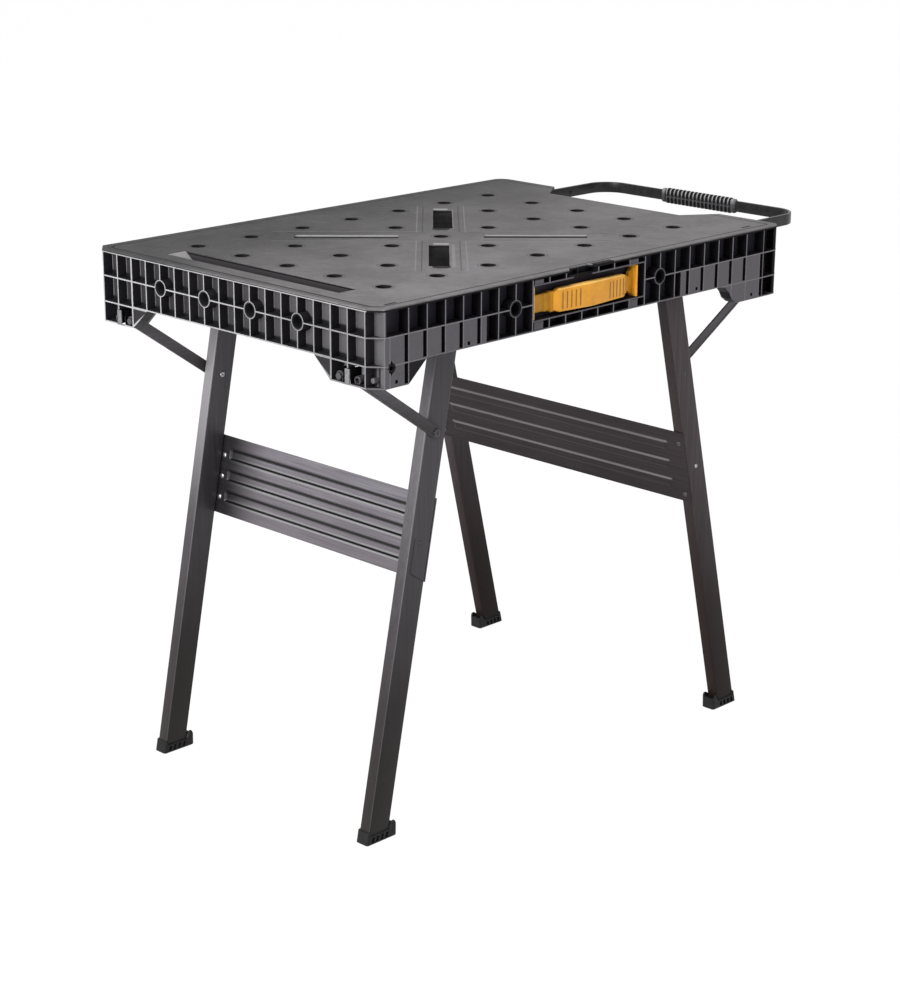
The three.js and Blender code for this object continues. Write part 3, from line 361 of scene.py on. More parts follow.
def makeSkirtFinish(spec):
    material, tree, shader = newFinish("skirtBlack")
    here = place(tree, shift=(-topMiddleX, 0, 0))
    x, y, z = split(tree, here)
    absX, absY = calc(tree, "ABSOLUTE", x), calc(tree, "ABSOLUTE", y)
    drop = calc(tree, "SUBTRACT", topHeight, z)
    skirtMottle = noise(tree, here, 90.0, 4.0, 0.65)
    cloud = noise(tree, here, 18.0, 3.0)
    grain = noise(tree, here, 1100.0, 2.0)
    outer = ramp(tree, shellDistance(tree, x, y), -spec["planeDepth"], -0.0001)
    gusset = calc(tree, "MULTIPLY", calc(tree, "GREATER_THAN", drop, 2 * spec["rowHeight"] + 0.0012),
                  calc(tree, "MAXIMUM", calc(tree, "LESS_THAN", absY, 0.2112), calc(tree, "LESS_THAN", calc(tree, "ABSOLUTE", calc(tree, "ADD", x, 0.20)), 0.1755)))
    keyX = calc(tree, "SUBTRACT", x, spec["keyhole"][0])
    keyZ = calc(tree, "SUBTRACT", drop, spec["keyhole"][1])
    keyAway = calc(tree, "SQRT", calc(tree, "ADD", calc(tree, "MULTIPLY", keyX, keyX), calc(tree, "MULTIPLY", keyZ, keyZ)))
    # slanted lower edge of each end gusset, a line through one point with a given slope
    besideY, besideDrop, slope = spec["gussetEdge"]
    slant = calc(tree, "SUBTRACT", calc(tree, "MULTIPLY", calc(tree, "SUBTRACT", drop, besideDrop), slope), calc(tree, "SUBTRACT", absY, besideY))
    gusset = calc(tree, "MULTIPLY", gusset, ramp(tree, calc(tree, "ABSOLUTE", calc(tree, "ADD", slant, 0.0012)), 0.0014, 0.0030))
    plain = calc(tree, "MULTIPLY", calc(tree, "SUBTRACT", 1.0, gusset), ramp(tree, keyAway, spec["keyhole"][2], 0.0078))
    outer = calc(tree, "MULTIPLY", outer, plain)
    # ring bosses: only the outer part of each ring carries the painted highlight
    row = calc(tree, "SUBTRACT", drop, spec["rowHeight"])
    endAway = calc(tree, "PINGPONG", calc(tree, "ADD", y, 28 * spec["endPitch"] - spec["endStart"]), 1.5 * spec["endPitch"])
    endAway = calc(tree, "ADD", endAway, calc(tree, "MULTIPLY", calc(tree, "GREATER_THAN", absY, 0.2150), 1.0))
    sideAway = calc(tree, "MINIMUM", *(calc(tree, "ABSOLUTE", calc(tree, "SUBTRACT", x, at)) for at in spec["sideBosses"]))
    away = calc(tree, "MINIMUM", calc(tree, "ADD", endAway, calc(tree, "LESS_THAN", absX, 0.4100)), sideAway)
    ring = calc(tree, "SQRT", calc(tree, "ADD", calc(tree, "MULTIPLY", away, away), calc(tree, "MULTIPLY", row, row)))
    outer = calc(tree, "MULTIPLY", outer, ramp(tree, ring, spec["ringInner"] - 0.0004, spec["ringInner"] + 0.0004))
    atEnd = ramp(tree, absX, 0.4353, 0.4358)
    # side ribs: distance to the nearest upright or level rib line, drawn as a paler painted highlight
    upright = calc(tree, "PINGPONG", calc(tree, "ADD", x, 20 * spec["sidePitch"] - spec["sideStart"]), 0.5 * spec["sidePitch"])
    level = calc(tree, "PINGPONG", drop, 0.5 * spec["rowHeight"])
    ribLine = calc(tree, "MAXIMUM", ramp(tree, upright, 0.0004, 0.0010, 1.0, 0.0), ramp(tree, level, 0.0004, 0.0010, 1.0, 0.0))
    chamfer = calc(tree, "MULTIPLY", calc(tree, "LESS_THAN", absX, 0.4352), calc(tree, "LESS_THAN", absY, 0.2993))
    ribLine = calc(tree, "MULTIPLY", ribLine, ramp(tree, chamfer, 0.0, 1.0, 1.0, 0.25))
    # painted highlight: the end's rib edges grow paler towards the rear, and the sides' outer faces are painted lighter
    # than the cells
    endEdge = blendColor(tree, ramp(tree, y, -0.30, 0.16), spec["endNear"], spec["endEdge"])
    face = blendColor(tree, atEnd, blendColor(tree, ribLine, spec["sideFace"], spec["sideLine"]), endEdge)
    # end cells: share of the way across a cell and up a row, used to fade the light on the back wall
    across = calc(tree, "FRACT", calc(tree, "MULTIPLY", calc(tree, "SUBTRACT", y, spec["endStart"] - 20 * spec["endPitch"]), 1 / spec["endPitch"]))
    above = calc(tree, "SUBTRACT", spec["rowHeight"], calc(tree, "MODULO", drop, spec["rowHeight"]))
    back = ramp(tree, calc(tree, "ABSOLUTE", calc(tree, "SUBTRACT", absX, 0.4140)), 0.0005, 0.0011, 1.0, 0.0)
    back = calc(tree, "MULTIPLY", back, ramp(tree, across, 0.97, 0.72))
    back = calc(tree, "MULTIPLY", back, ramp(tree, above, 0.0055, 0.0110))
    # painted light on the backs of the corner cells at the end
    corner = ramp(tree, calc(tree, "ABSOLUTE", calc(tree, "SUBTRACT", absX, 0.4195)), 0.0004, 0.0009, 1.0, 0.0)
    corner = calc(tree, "MULTIPLY", corner, calc(tree, "MULTIPLY", calc(tree, "GREATER_THAN", absY, 0.2795), 0.36))
    # lowest corner cells: the painted light falls on two pale uprights with a dark gap between them
    uprights = calc(tree, "MULTIPLY", ramp(tree, absY, 0.2836, 0.2842), ramp(tree, calc(tree, "ABSOLUTE", calc(tree, "SUBTRACT", absY, 0.2896)), 0.0014, 0.0020))
    lowest = calc(tree, "GREATER_THAN", drop, 2 * spec["rowHeight"] + 0.0015)
    corner = calc(tree, "MULTIPLY", corner, calc(tree, "MAXIMUM", uprights, calc(tree, "SUBTRACT", 1.0, lowest)))
    pale = calc(tree, "MULTIPLY", calc(tree, "MAXIMUM", back, corner), ramp(tree, cloud, 0.25, 0.75, 0.75, 1.0))
    inner = blendColor(tree, ramp(tree, cloud, 0.3, 0.7), spec["cell"], spec["wall"])
    # painted shade: the long sides' cells are darker inside
    along = calc(tree, "MULTIPLY", calc(tree, "GREATER_THAN", absY, 0.2805), calc(tree, "LESS_THAN", absX, 0.4150))
    inner = blendColor(tree, calc(tree, "MULTIPLY", along, 0.62), inner, spec["deep"])
    # painted light: the backs of the long sides' cells are paler than their walls
    sideBack = ramp(tree, calc(tree, "ABSOLUTE", calc(tree, "SUBTRACT", absY, 0.2820)), 0.0004, 0.0009, 1.0, 0.0)
    sideBack = calc(tree, "MULTIPLY", sideBack, calc(tree, "LESS_THAN", absX, 0.4150))
    inner = blendColor(tree, sideBack, inner, spec["sideBack"])
    inner = blendColor(tree, pale, inner, spec["backWall"])
    # painted highlight on the outer faces and rib edges, varied by a noise
    paintedHighlight = calc(tree, "MULTIPLY", outer, ramp(tree, skirtMottle, 0.25, 0.60, 0.80, 1.0))
    feed(tree, shader.inputs["Base Color"], blendColor(tree, paintedHighlight, inner, face))
    feed(tree, shader.inputs["Roughness"], ramp(tree, skirtMottle, 0.3, 0.7, *spec["roughness"]))
    feed(tree, shader.inputs["Specular IOR Level"], ramp(tree, outer, 0.0, 1.0, *spec["specular"]))
    relief(tree, shader, ((grain, 0.0002, 0.25),))
    return material


legLean = {side: math.atan2(jointPlace[side + "_brace_front_turn"][0] - jointPlace[side + "_leg_fold"][0],
                            jointPlace[side + "_leg_fold"][2] - jointPlace[side + "_brace_front_turn"][2])
           for side in ("left", "right")}


# steel: charcoal powder coat, brushed along the tube and browner towards the floor; turn lays the streaks
steelFinish = {
    "color": (0.044, 0.040, 0.046), "light": (0.072, 0.068, 0.076), "low": (0.0150, 0.0106, 0.0094),
    "roughness": (0.30, 0.46), "specular": 0.34, "paintedHighlight": (0.17, 0.165, 0.172),
}
panelSpec = {"sheet": 0.0015, "height": 0.121, "bead": {"left": 0.0026, "right": 0.0009}, "beadHalf": 0.0084, "slope": 0.0030, "endGap": 0.016, "fade": 0.004,
             "offset": 0.0203, "drops": {"left": 0.3010, "right": 0.2990}, "centres": (0.0273, 0.0600, 0.0928),
             "lineEnds": {"left": (0.198, 0.206), "right": (0.238, 0.243)}, "shadow": (0.105, 0.205),
             "lap": (-0.0115, 0.3050, 0.3566, 0.431, 0.0024), "spot": (0.3125, 0.0030, 0.0048), "lapTone": (0.0060, 0.0055, 0.0060)}
# bead lines: pale lines are a painted highlight and dark lines a painted shade on the beads' slopes
leftBeadShading = ((-0.0069, 0.0044, (0.0050, 0.0046, 0.0051)), (0.0046, 0.0028, (0.150, 0.146, 0.152)),
             (0.0094, 0.0030, (0.165, 0.161, 0.167)), (0.0070, 0.0022, (0.0030, 0.0028, 0.0031)))
rightBeadShading = ((-0.0062, 0.0026, (0.135, 0.126, 0.130)),)


def legFrame(side):
    pin = jointPlace[side + "_leg_fold"].copy()
    down = np.array([math.sin(legLean[side]), 0.0, -math.cos(legLean[side])])
    across = np.array([math.cos(legLean[side]), 0.0, math.sin(legLean[side])])
    return pin, down, across



def makeSteelFinish(name, spec, turn, stretch, paintedLightTint=(1.0, 1.0, 1.0), side=None, beadShading=(), tubeMiddle=None, gloss=1.0, fade=None):
    material, tree, shader = newFinish(name)
    here = place(tree)
    streakPlace = place(tree, turn=turn, scale=stretch)
    x, y, z = split(tree, here)

    def along(axis, origin):
        # distance from the origin measured along an axis in the X-Z plane
        partX = calc(tree, "MULTIPLY", calc(tree, "SUBTRACT", x, float(origin[0])), float(axis[0]))
        partZ = calc(tree, "MULTIPLY", calc(tree, "SUBTRACT", z, float(origin[2])), float(axis[2]))
        return calc(tree, "ADD", partX, partZ)

    streak = noise(tree, streakPlace, 1.0, 4.0, 0.65)
    cloud = noise(tree, here, 9.0, 3.0)
    grain = noise(tree, here, 1500.0, 2.0)
    # the tint scales the colours: painted light and shade set for each piece
    shade = lambda c: tuple(v * t for v, t in zip(c, paintedLightTint))
    color = blendColor(tree, ramp(tree, streak, 0.30, 0.72), shade(spec["color"]), shade(spec["light"]))
    lower = ramp(tree, calc(tree, "ADD", z, calc(tree, "MULTIPLY", cloud, 0.16)), 0.66, 0.14)
    color = blendColor(tree, calc(tree, "MULTIPLY", lower, 0.90), color, shade(spec["low"]))
    # painted highlight and shade drawn along the beads' slopes
    if beadShading:
        pin, down, across = legFrame(side)
        first = (panelSpec["drops"][side] - (topHeight - pin[2])) / -down[2]
        way = along(down, pin)
        ends = ramp(tree, calc(tree, "ABSOLUTE", y), *panelSpec["lineEnds"][side], 1.0, 0.0)
        for offset, half, tone in beadShading:
            for centre in panelSpec["centres"]:
                off = calc(tree, "ABSOLUTE", calc(tree, "SUBTRACT", way, float(first + centre + offset)))
                line = calc(tree, "MULTIPLY", ramp(tree, off, half * 0.35, half, 1.0, 0.0), ends)
                color = blendColor(tree, line, color, tone)
        # painted shadow on the left panel towards the rear leg
        if side == "left":
            color = blendColor(tree, ramp(tree, y, *panelSpec["shadow"], 0.0, 0.93), color, (0.0035, 0.0032, 0.0035))
    if tubeMiddle:
        pin, down, across = legFrame(side)
        # painted highlight: a pale line along the tube's corner edges, stronger higher up
        edgeA = ramp(tree, calc(tree, "ABSOLUTE", along(across, pin)), 0.0182, 0.0194)
        edgeB = ramp(tree, calc(tree, "ABSOLUTE", calc(tree, "SUBTRACT", calc(tree, "ABSOLUTE", y), tubeMiddle)), 0.0082, 0.0094)
        edge = calc(tree, "MULTIPLY", calc(tree, "MULTIPLY", edgeA, edgeB), ramp(tree, lower, 0.0, 1.0, 0.75, 0.25))
        color = blendColor(tree, edge, color, spec["paintedHighlight"])
        # the panel's flange laps the wide face: an upright edge, a slanted lower edge and a dark spot round the bolt
        over, way = along(across, pin), along(down, pin)
        lapOver, lapHigh, lapLow, lapSlope, lapWidth = panelSpec["lap"]
        upright = calc(tree, "MULTIPLY", lineMask(tree, over, lapOver, lapWidth),
                       calc(tree, "MULTIPLY", calc(tree, "GREATER_THAN", way, lapHigh), calc(tree, "LESS_THAN", way, lapLow)))
        sloping = calc(tree, "SUBTRACT", way, calc(tree, "MULTIPLY", calc(tree, "SUBTRACT", over, lapOver), lapSlope))
        sloping = calc(tree, "MULTIPLY", lineMask(tree, sloping, lapLow, lapWidth), calc(tree, "GREATER_THAN", over, lapOver))
        spotWay = calc(tree, "SUBTRACT", way, panelSpec["spot"][0])
        spotAway = calc(tree, "SQRT", calc(tree, "ADD", calc(tree, "MULTIPLY", over, over), calc(tree, "MULTIPLY", spotWay, spotWay)))
        spot = ramp(tree, spotAway, *panelSpec["spot"][1:], 1.0, 0.0)
        lap = calc(tree, "MAXIMUM", calc(tree, "MAXIMUM", upright, sloping), spot)
        lap = calc(tree, "MULTIPLY", lap, ramp(tree, calc(tree, "ABSOLUTE", y), tubeMiddle + 0.0084, tubeMiddle + 0.0088, 0.0, 0.9))
        color = blendColor(tree, lap, color, panelSpec["lapTone"])
        # painted light: the narrow face turned to -X is paler, more so higher up and towards the rear
        facing = ramp(tree, over, -0.0196, -0.0190, 1.0, 0.0)
        paler = calc(tree, "MULTIPLY", facing, ramp(tree, z, 0.34, 0.58, 0.05, 1.0))
        paler = calc(tree, "MULTIPLY", paler, ramp(tree, y, -0.1, 0.1, 0.24, 0.95))
        color = blendColor(tree, paler, color, spec["paintedHighlight"])
    # painted shade: on the right legs the narrow face turned to -X is darkened, more so towards the front
    if side == "right" and not beadShading:
        pin, down, across = legFrame(side)
        facing = ramp(tree, along(across, pin), -0.0196, -0.0190, 1.0, 0.0)
        facing = calc(tree, "MULTIPLY", facing, ramp(tree, y, -0.1, 0.1, 0.62, 0.10))
        color = blendColor(tree, facing, color, shade(spec["low"]))
    if fade:
        color = blendColor(tree, ramp(tree, z, *fade, 0.80, 0.0), color, spec["low"])
    feed(tree, shader.inputs["Base Color"], color)
    feed(tree, shader.inputs["Roughness"], ramp(tree, streak, 0.25, 0.75, *spec["roughness"]))
    feed(tree, shader.inputs["Specular IOR Level"], ramp(tree, lower, 0.0, 1.0, gloss * spec["specular"], 0.5 * gloss * spec["specular"]))
    relief(tree, shader, ((streak, 0.0003, 0.10), (grain, 0.0002, 0.12)))
    return material


# plain finishes: one recipe for the small parts, a cloudy colour, a roughness range and a grain
def makeFinish(name, color, other, roughness, cloudScale=40.0, grainScale=900.0, grainDepth=0.0002,
               metallic=0.0, spread=(0.32, 0.70), specular=0.3):
    material, tree, shader = newFinish(name)
    here = place(tree)
    cloud = noise(tree, here, cloudScale, 4.0, 0.6)
    grain = noise(tree, here, grainScale, 2.0)
    feed(tree, shader.inputs["Base Color"], blendColor(tree, ramp(tree, cloud, *spread), color, other))
    feed(tree, shader.inputs["Roughness"], ramp(tree, grain, 0.3, 0.7, *roughness))
    shader.inputs["Metallic"].default_value = metallic
    shader.inputs["Specular IOR Level"].default_value = specular
    relief(tree, shader, ((grain, grainDepth, 0.3),))
    return material


# yellow: satin moulding; the grip grooves are drawn darker as painted shade, and pale along the eased edges as a
# painted highlight
yellowFinish = {
    "color": (0.81, 0.355, 0.022), "other": (0.70, 0.298, 0.018), "groove": (0.30, 0.120, 0.006), "middle": -0.014,
    "groups": ((-0.0575, 0.0088, 5), (0.0425, 0.0078, 5)), "grooveHalf": 0.0013, "drops": (0.0285, 0.0555),
    "rim": (0.94, 0.60, 0.17), "rimDrops": (0.0262, 0.0570), "rimEnds": (-0.1166, 0.1037),
}


def makeYellowFinish(spec):
    material, tree, shader = newFinish("handleYellow")
    here = place(tree, shift=(-topMiddleX - spec["middle"], 0, 0))
    x, y, z = split(tree, here)
    drop = calc(tree, "SUBTRACT", topHeight, z)
    cloud = noise(tree, here, 55.0, 4.0, 0.6)
    grain = noise(tree, here, 1100.0, 2.0)
    color = blendColor(tree, ramp(tree, cloud, 0.32, 0.70), spec["color"], spec["other"])
    lines = None
    for start, pitch, count in spec["groups"]:
        off = calc(tree, "PINGPONG", calc(tree, "SUBTRACT", x, start - 40 * pitch), 0.5 * pitch)
        line = ramp(tree, off, spec["grooveHalf"] * 0.6, spec["grooveHalf"] * 1.3, 1.0, 0.0)
        line = calc(tree, "MULTIPLY", line, calc(tree, "GREATER_THAN", x, start - 0.5 * pitch))
        line = calc(tree, "MULTIPLY", line, calc(tree, "LESS_THAN", x, start + (count - 0.5) * pitch))
        lines = line if lines is None else calc(tree, "MAXIMUM", lines, line)
    inBand = calc(tree, "MULTIPLY", ramp(tree, drop, spec["drops"][0], spec["drops"][0] + 0.002),
                  ramp(tree, drop, spec["drops"][1] - 0.002, spec["drops"][1], 1.0, 0.0))
    inBand = calc(tree, "MULTIPLY", inBand, calc(tree, "LESS_THAN", y, -0.2940))
    lines = calc(tree, "MULTIPLY", lines, inBand)
    # painted highlight along the grip's top and bottom edges and on the flanges
    rim = calc(tree, "MAXIMUM", ramp(tree, drop, spec["rimDrops"][0], spec["rimDrops"][0] - 0.0012),
               ramp(tree, drop, spec["rimDrops"][1], spec["rimDrops"][1] + 0.0012))
    rim = calc(tree, "MULTIPLY", rim, calc(tree, "LESS_THAN", calc(tree, "ABSOLUTE", x), 0.0900))
    ends = calc(tree, "MAXIMUM", calc(tree, "LESS_THAN", x, spec["rimEnds"][0]), calc(tree, "GREATER_THAN", x, spec["rimEnds"][1]))
    rim = calc(tree, "MULTIPLY", calc(tree, "MAXIMUM", rim, ends), calc(tree, "LESS_THAN", y, -0.2940))
    color = blendColor(tree, calc(tree, "MULTIPLY", rim, 0.75), color, spec["rim"])
    feed(tree, shader.inputs["Base Color"], blendColor(tree, lines, color, spec["groove"]))
    feed(tree, shader.inputs["Roughness"], ramp(tree, grain, 0.3, 0.7, 0.34, 0.46))
    shader.inputs["Specular IOR Level"].default_value = 0.4
    relief(tree, shader, ((grain, 0.0002, 0.3), (calc(tree, "SUBTRACT", 1.0, lines), 0.0008, 0.7)))
    return material


# grip: ribs pale, gaps dark, the wave running along the bar; the pale ribs and dark gaps are painted light and shade
gripFinish = {"rib": (0.058, 0.056, 0.059), "ribTop": (0.27, 0.265, 0.272), "gap": (0.0045, 0.0042, 0.0047), "ribs": 17, "inside": 0.070,
              "topFrom": (0.0000, 0.0110), "seam": (-0.0010, 0.0026)}


def makeGripFinish(spec):
    material, tree, shader = newFinish("gripGrey")
    here = place(tree)
    x, y, z = split(tree, here)
    cloud = noise(tree, here, 80.0, 4.0)
    grain = noise(tree, here, 1400.0, 2.0)
    pitch = 2 * spec["inside"] / spec["ribs"]
    off = calc(tree, "PINGPONG", calc(tree, "ADD", y, 40 * pitch), 0.5 * pitch)
    rib = ramp(tree, off, 0.20 * pitch, 0.10 * pitch)
    collar = calc(tree, "GREATER_THAN", calc(tree, "ABSOLUTE", y), spec["inside"])
    rib = calc(tree, "MAXIMUM", rib, calc(tree, "MULTIPLY", collar, 0.6))
    rib = calc(tree, "MULTIPLY", rib, ramp(tree, cloud, 0.3, 0.7, 0.8, 1.0))
    # ribs are paler towards the top, a painted highlight, and a moulding seam runs along the middle
    low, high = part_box("pull_strip")
    rise = calc(tree, "SUBTRACT", z, 0.5 * (low.z + high.z))
    ribColor = blendColor(tree, ramp(tree, rise, *spec["topFrom"]), spec["rib"], spec["ribTop"])
    rib = calc(tree, "MAXIMUM", rib, calc(tree, "MULTIPLY", lineMask(tree, rise, *spec["seam"]), 0.8))
    feed(tree, shader.inputs["Base Color"], blendColor(tree, rib, spec["gap"], ribColor))
    feed(tree, shader.inputs["Roughness"], ramp(tree, grain, 0.3, 0.7, 0.55, 0.72))
    shader.inputs["Specular IOR Level"].default_value = 0.2
    relief(tree, shader, ((grain, 0.0003, 0.3),))
    return material


finishes = {
    "deck": makeDeckFinish(deckFinish),
    "groove": makeTroughFinish("grooveGrey", troughFinish, 0.0014, 0.0027),
    "tray": makeTroughFinish("trayGrey", trayFinish, 0.0220, 0.0260, -0.3600, -0.3575),
    "skirt": makeSkirtFinish(skirtFinish),
    # steel pieces are lit and shaded copies of one powder coat: each tint is painted light and shade, lightest on the
    # left panel and braces, darkest on the right panel
    "leftLeg": makeSteelFinish("leftLegCharcoal", steelFinish, (0, -legLean["left"], 0), (420, 420, 5), (0.78, 0.76, 0.78), "left", (), 0.2293),
    "rightLeg": makeSteelFinish("rightLegCharcoal", steelFinish, (0, -legLean["right"], 0), (420, 420, 5), (1.02, 0.87, 0.86), "right", (), None, 0.42),
    "leftPanel": makeSteelFinish("leftPanelCharcoal", steelFinish, (0.10, 0, 0), (300, 7, 420), (1.95, 1.92, 1.95), "left", leftBeadShading),
    "rightPanel": makeSteelFinish("rightPanelCharcoal", steelFinish, (-0.10, 0, 0), (300, 7, 420), (0.46, 0.38, 0.37), "right", rightBeadShading, None, 0.4),
    "brace": makeSteelFinish("braceCharcoal", steelFinish, (0, 0.6, 0), (30, 300, 300), (1.35, 1.32, 1.36), fade=(0.590, 0.668)),
    "plate": makeSteelFinish("plateCharcoal", steelFinish, (0, 0, 0), (8, 300, 300), (0.8, 0.8, 0.8)),
    "zinc": makeFinish("zincBright", (0.42, 0.42, 0.43), (0.30, 0.30, 0.31), (0.22, 0.38), 300.0, metallic=0.85),
    "dull": makeFinish("zincDull", (0.070, 0.069, 0.072), (0.048, 0.047, 0.050), (0.34, 0.5), 300.0, metallic=0.4),
    "bracket": makeFinish("bracketZinc", (0.15, 0.146, 0.152), (0.10, 0.097, 0.102), (0.4, 0.55), 160.0),
    "rivet": makeFinish("rivetCharcoal", (0.060, 0.056, 0.062), (0.042, 0.039, 0.044), (0.32, 0.46), 200.0),
    # liner and window finishes are near black: painted shade in the holes and windows, the corner skins and the bracket
    # cheeks
    "liner": makeFinish("linerBlack", (0.0028, 0.0027, 0.0030), (0.0050, 0.0048, 0.0052), (0.5, 0.7), 60.0, specular=0.05),
    "window": makeFinish("windowBlack", (0.0135, 0.0124, 0.0135), (0.0225, 0.0210, 0.0225), (0.5, 0.7), 60.0, specular=0.12),
    "yellow": makeYellowFinish(yellowFinish),
    "cellBack": makeCellBackFinish(cellBackFinish, skirtFinish),
    # the blanks and corner bosses take the lighter grey of the skirt's outer faces, painted light
    "blank": makeFinish("blankGrey", (0.082, 0.075, 0.087), (0.062, 0.057, 0.066), (0.34, 0.5), 90.0),
    # the necks take a darker copy of the yellow, painted shade where they sit back from the grip
    "neck": makeFinish("neckYellow", (0.60, 0.280, 0.013), (0.48, 0.220, 0.010), (0.36, 0.5), 55.0, 1100.0),
    "grip": makeGripFinish(gripFinish),
    "boot": makeFinish("bootBlack", (0.0061, 0.0058, 0.0062), (0.0108, 0.0103, 0.0108), (0.42, 0.60), 60.0, 1000.0, 0.0003,
                       specular=0.18),
    "strip": makeFinish("stripBlack", (0.0095, 0.0090, 0.0098), (0.0160, 0.0152, 0.0160), (0.26, 0.38), 70.0, 1200.0, specular=0.28),
}
print("finishes made:", len(finishes))


# shapes: every new piece is a grid of points over two parameters, closed where a flag says so
def gridFaces(countU, countV, wrapU, wrapV):
    u, v = np.meshgrid(np.arange(countU if wrapU else countU - 1),
                       np.arange(countV if wrapV else countV - 1), indexing="ij")
    nextU = (u + 1) % countU
    nextV = (v + 1) % countV
    return np.stack([u * countV + v, nextU * countV + v, nextU * countV + nextV, u * countV + nextV], -1).reshape(-1, 4)


def enclosed(points, faces):
    # signed volume from the triangle fans of the quads
    a, b, c, d = (points[faces[:, k]] for k in range(4))
    return np.einsum("ij,ij->", a, np.cross(b, c)) + np.einsum("ij,ij->", a, np.cross(c, d))


def makePiece(name, parts, finish, body, stands=(), sharp=32.0):
    allPoints, allFaces, start = [], [], 0
    for grid, wrapU, wrapV in parts:
        points = grid.reshape(-1, 3)
        faces = gridFaces(grid.shape[0], grid.shape[1], wrapU, wrapV)
        if enclosed(points - points.mean(0), faces) < 0:
            faces = faces[:, ::-1]
        allPoints.append(points)
        allFaces.append(faces + start)
        start += len(points)
    mesh = bpy.data.meshes.new(name)
    mesh.from_pydata(np.concatenate(allPoints).tolist(), [], np.concatenate(allFaces).tolist())
    shell = bmesh.new()
    shell.from_mesh(mesh)
    bmesh.ops.remove_doubles(shell, verts=shell.verts, dist=2e-6)
    bmesh.ops.dissolve_degenerate(shell, edges=shell.edges, dist=1e-6)
    shell.to_mesh(mesh)
    shell.free()
    mesh.polygons.foreach_set("use_smooth", np.ones(len(mesh.polygons), bool))
    mesh.set_sharp_from_angle(angle=math.radians(sharp))
    mesh.materials.append(finish)
    piece = bpy.data.objects.new(name, mesh)
    scene.collection.objects.link(piece)
    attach(piece, body)
    if stands:
        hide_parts(*stands)
    return piece


def roundedRing(halfB, halfC, radius, perCorner=5):
    # rounded rectangle, anticlockwise: four corner arcs about (+-(b-r), +-(c-r))
    angle = np.linspace(0, math.pi / 2, perCorner)
    turn = np.concatenate([angle + k * math.pi / 2 for k in range(4)])
    signB = np.repeat([1, -1, -1, 1], perCorner)
    signC = np.repeat([1, 1, -1, -1], perCorner)
    return np.stack([signB * (halfB - radius) + radius * np.cos(turn),
                     signC * (halfC - radius) + radius * np.sin(turn)], -1)


def stackRings(rings, heights):
    # rings of equal count set at heights: grid of (ring point, level)
    levels = np.repeat(np.asarray(heights, float)[None, :], rings[0].shape[0], 0)
    return np.concatenate([np.stack(rings, 1), levels[..., None]], -1)


def setIn(local, origin, axes):
    # local coordinates carried along three axes from an origin
    return np.asarray(origin) + local @ np.asarray(axes, float)


def blockPart(low, high, corner, edge, perCorner=4):
    # upright block: rounded plan, edges eased by an inset ring at the top and bottom
    low, high = np.asarray(low, float), np.asarray(high, float)
    half, middle = (high - low) / 2, (high + low) / 2
    inset = [half[:2].min(), edge, 0, 0, edge, half[:2].min()]
    rings = [roundedRing(half[0] - min(k, half[0] * 0.999), half[1] - min(k, half[1] * 0.999),
                         max(corner - k, 1e-5), perCorner) for k in inset]
    levels = [-half[2], -half[2], -half[2] + edge, half[2] - edge, half[2], half[2]]
    return (stackRings(rings, levels) + middle, True, False)


def lathePart(radii, heights, origin, axis, count=32):
    # profile of radius against height, turned about an axis
    axis = np.asarray(axis, float) / np.linalg.norm(axis)
    side = np.cross(axis, [0.0, 0.0, 1.0] if abs(axis[2]) < 0.9 else [1.0, 0.0, 0.0])
    side /= np.linalg.norm(side)
    other = np.cross(axis, side)
    turn = np.linspace(0, 2 * math.pi, count, endpoint=False)[:, None]
    radii, heights = np.asarray(radii, float)[None, :], np.asarray(heights, float)[None, :]
    local = np.stack([radii * np.cos(turn), radii * np.sin(turn), heights + 0 * turn], -1)
    return (setIn(local, origin, (side, other, axis)), True, False)


def tubePart(inner, outer, high, low, origin, count=28):
    # upright ring of square section, closed both ways
    grid, wrapU, wrapV = lathePart((inner, outer, outer, inner), (high, high, low, low), origin, (0, 0, 1), count)
    return (grid, True, True)


# legs: rectangular tube with rounded corners, carried along the line from the pin to the foot
legSpec = {"width": 0.040, "depth": 0.020, "radius": 0.0028, "wall": 0.0015, "abovePin": 0.020, "sole": 0.005}


def makeLegs(spec):
    for side in ("left", "right"):
        pin, down, across = legFrame(side)
        bottom = (pin[2] - spec["sole"] - 0.5 * spec["width"] * abs(across[2])) / -down[2]
        for end in ("front", "rear"):
            node = side + "_leg_" + end
            low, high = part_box(node)
            middle = np.array([pin[0], 0.5 * (low.y + high.y), pin[2]])
            inset = (0, 0, 0.0004, spec["wall"] - 0.0003, spec["wall"], spec["wall"])
            levels = (bottom, -spec["abovePin"] + 0.0004, -spec["abovePin"], -spec["abovePin"],
                      -spec["abovePin"] + 0.0003, bottom)
            rings = [roundedRing(spec["width"] / 2 - k, spec["depth"] / 2 - k, max(spec["radius"] - k, 0.0003), 6)
                     for k in inset]
            grid = setIn(stackRings(rings, levels), middle, (across, (0, 1, 0), down))
            makePiece(node + "_tube", [(grid, True, True)], finishes[side + "Leg"], side + "_frame",
                      (node,))


makeLegs(legSpec)
print("legs made")


# braces: flat strip with round ends and a channel pressed along it; rings step in from a stadium outline
braceSpec = {"halfWidth": 0.0085, "seat": (0.420, 0.100), "edge": 0.0005, "rim": 0.0030, "wall": 0.0010, "channel": 0.0007, "pin": 0.004}


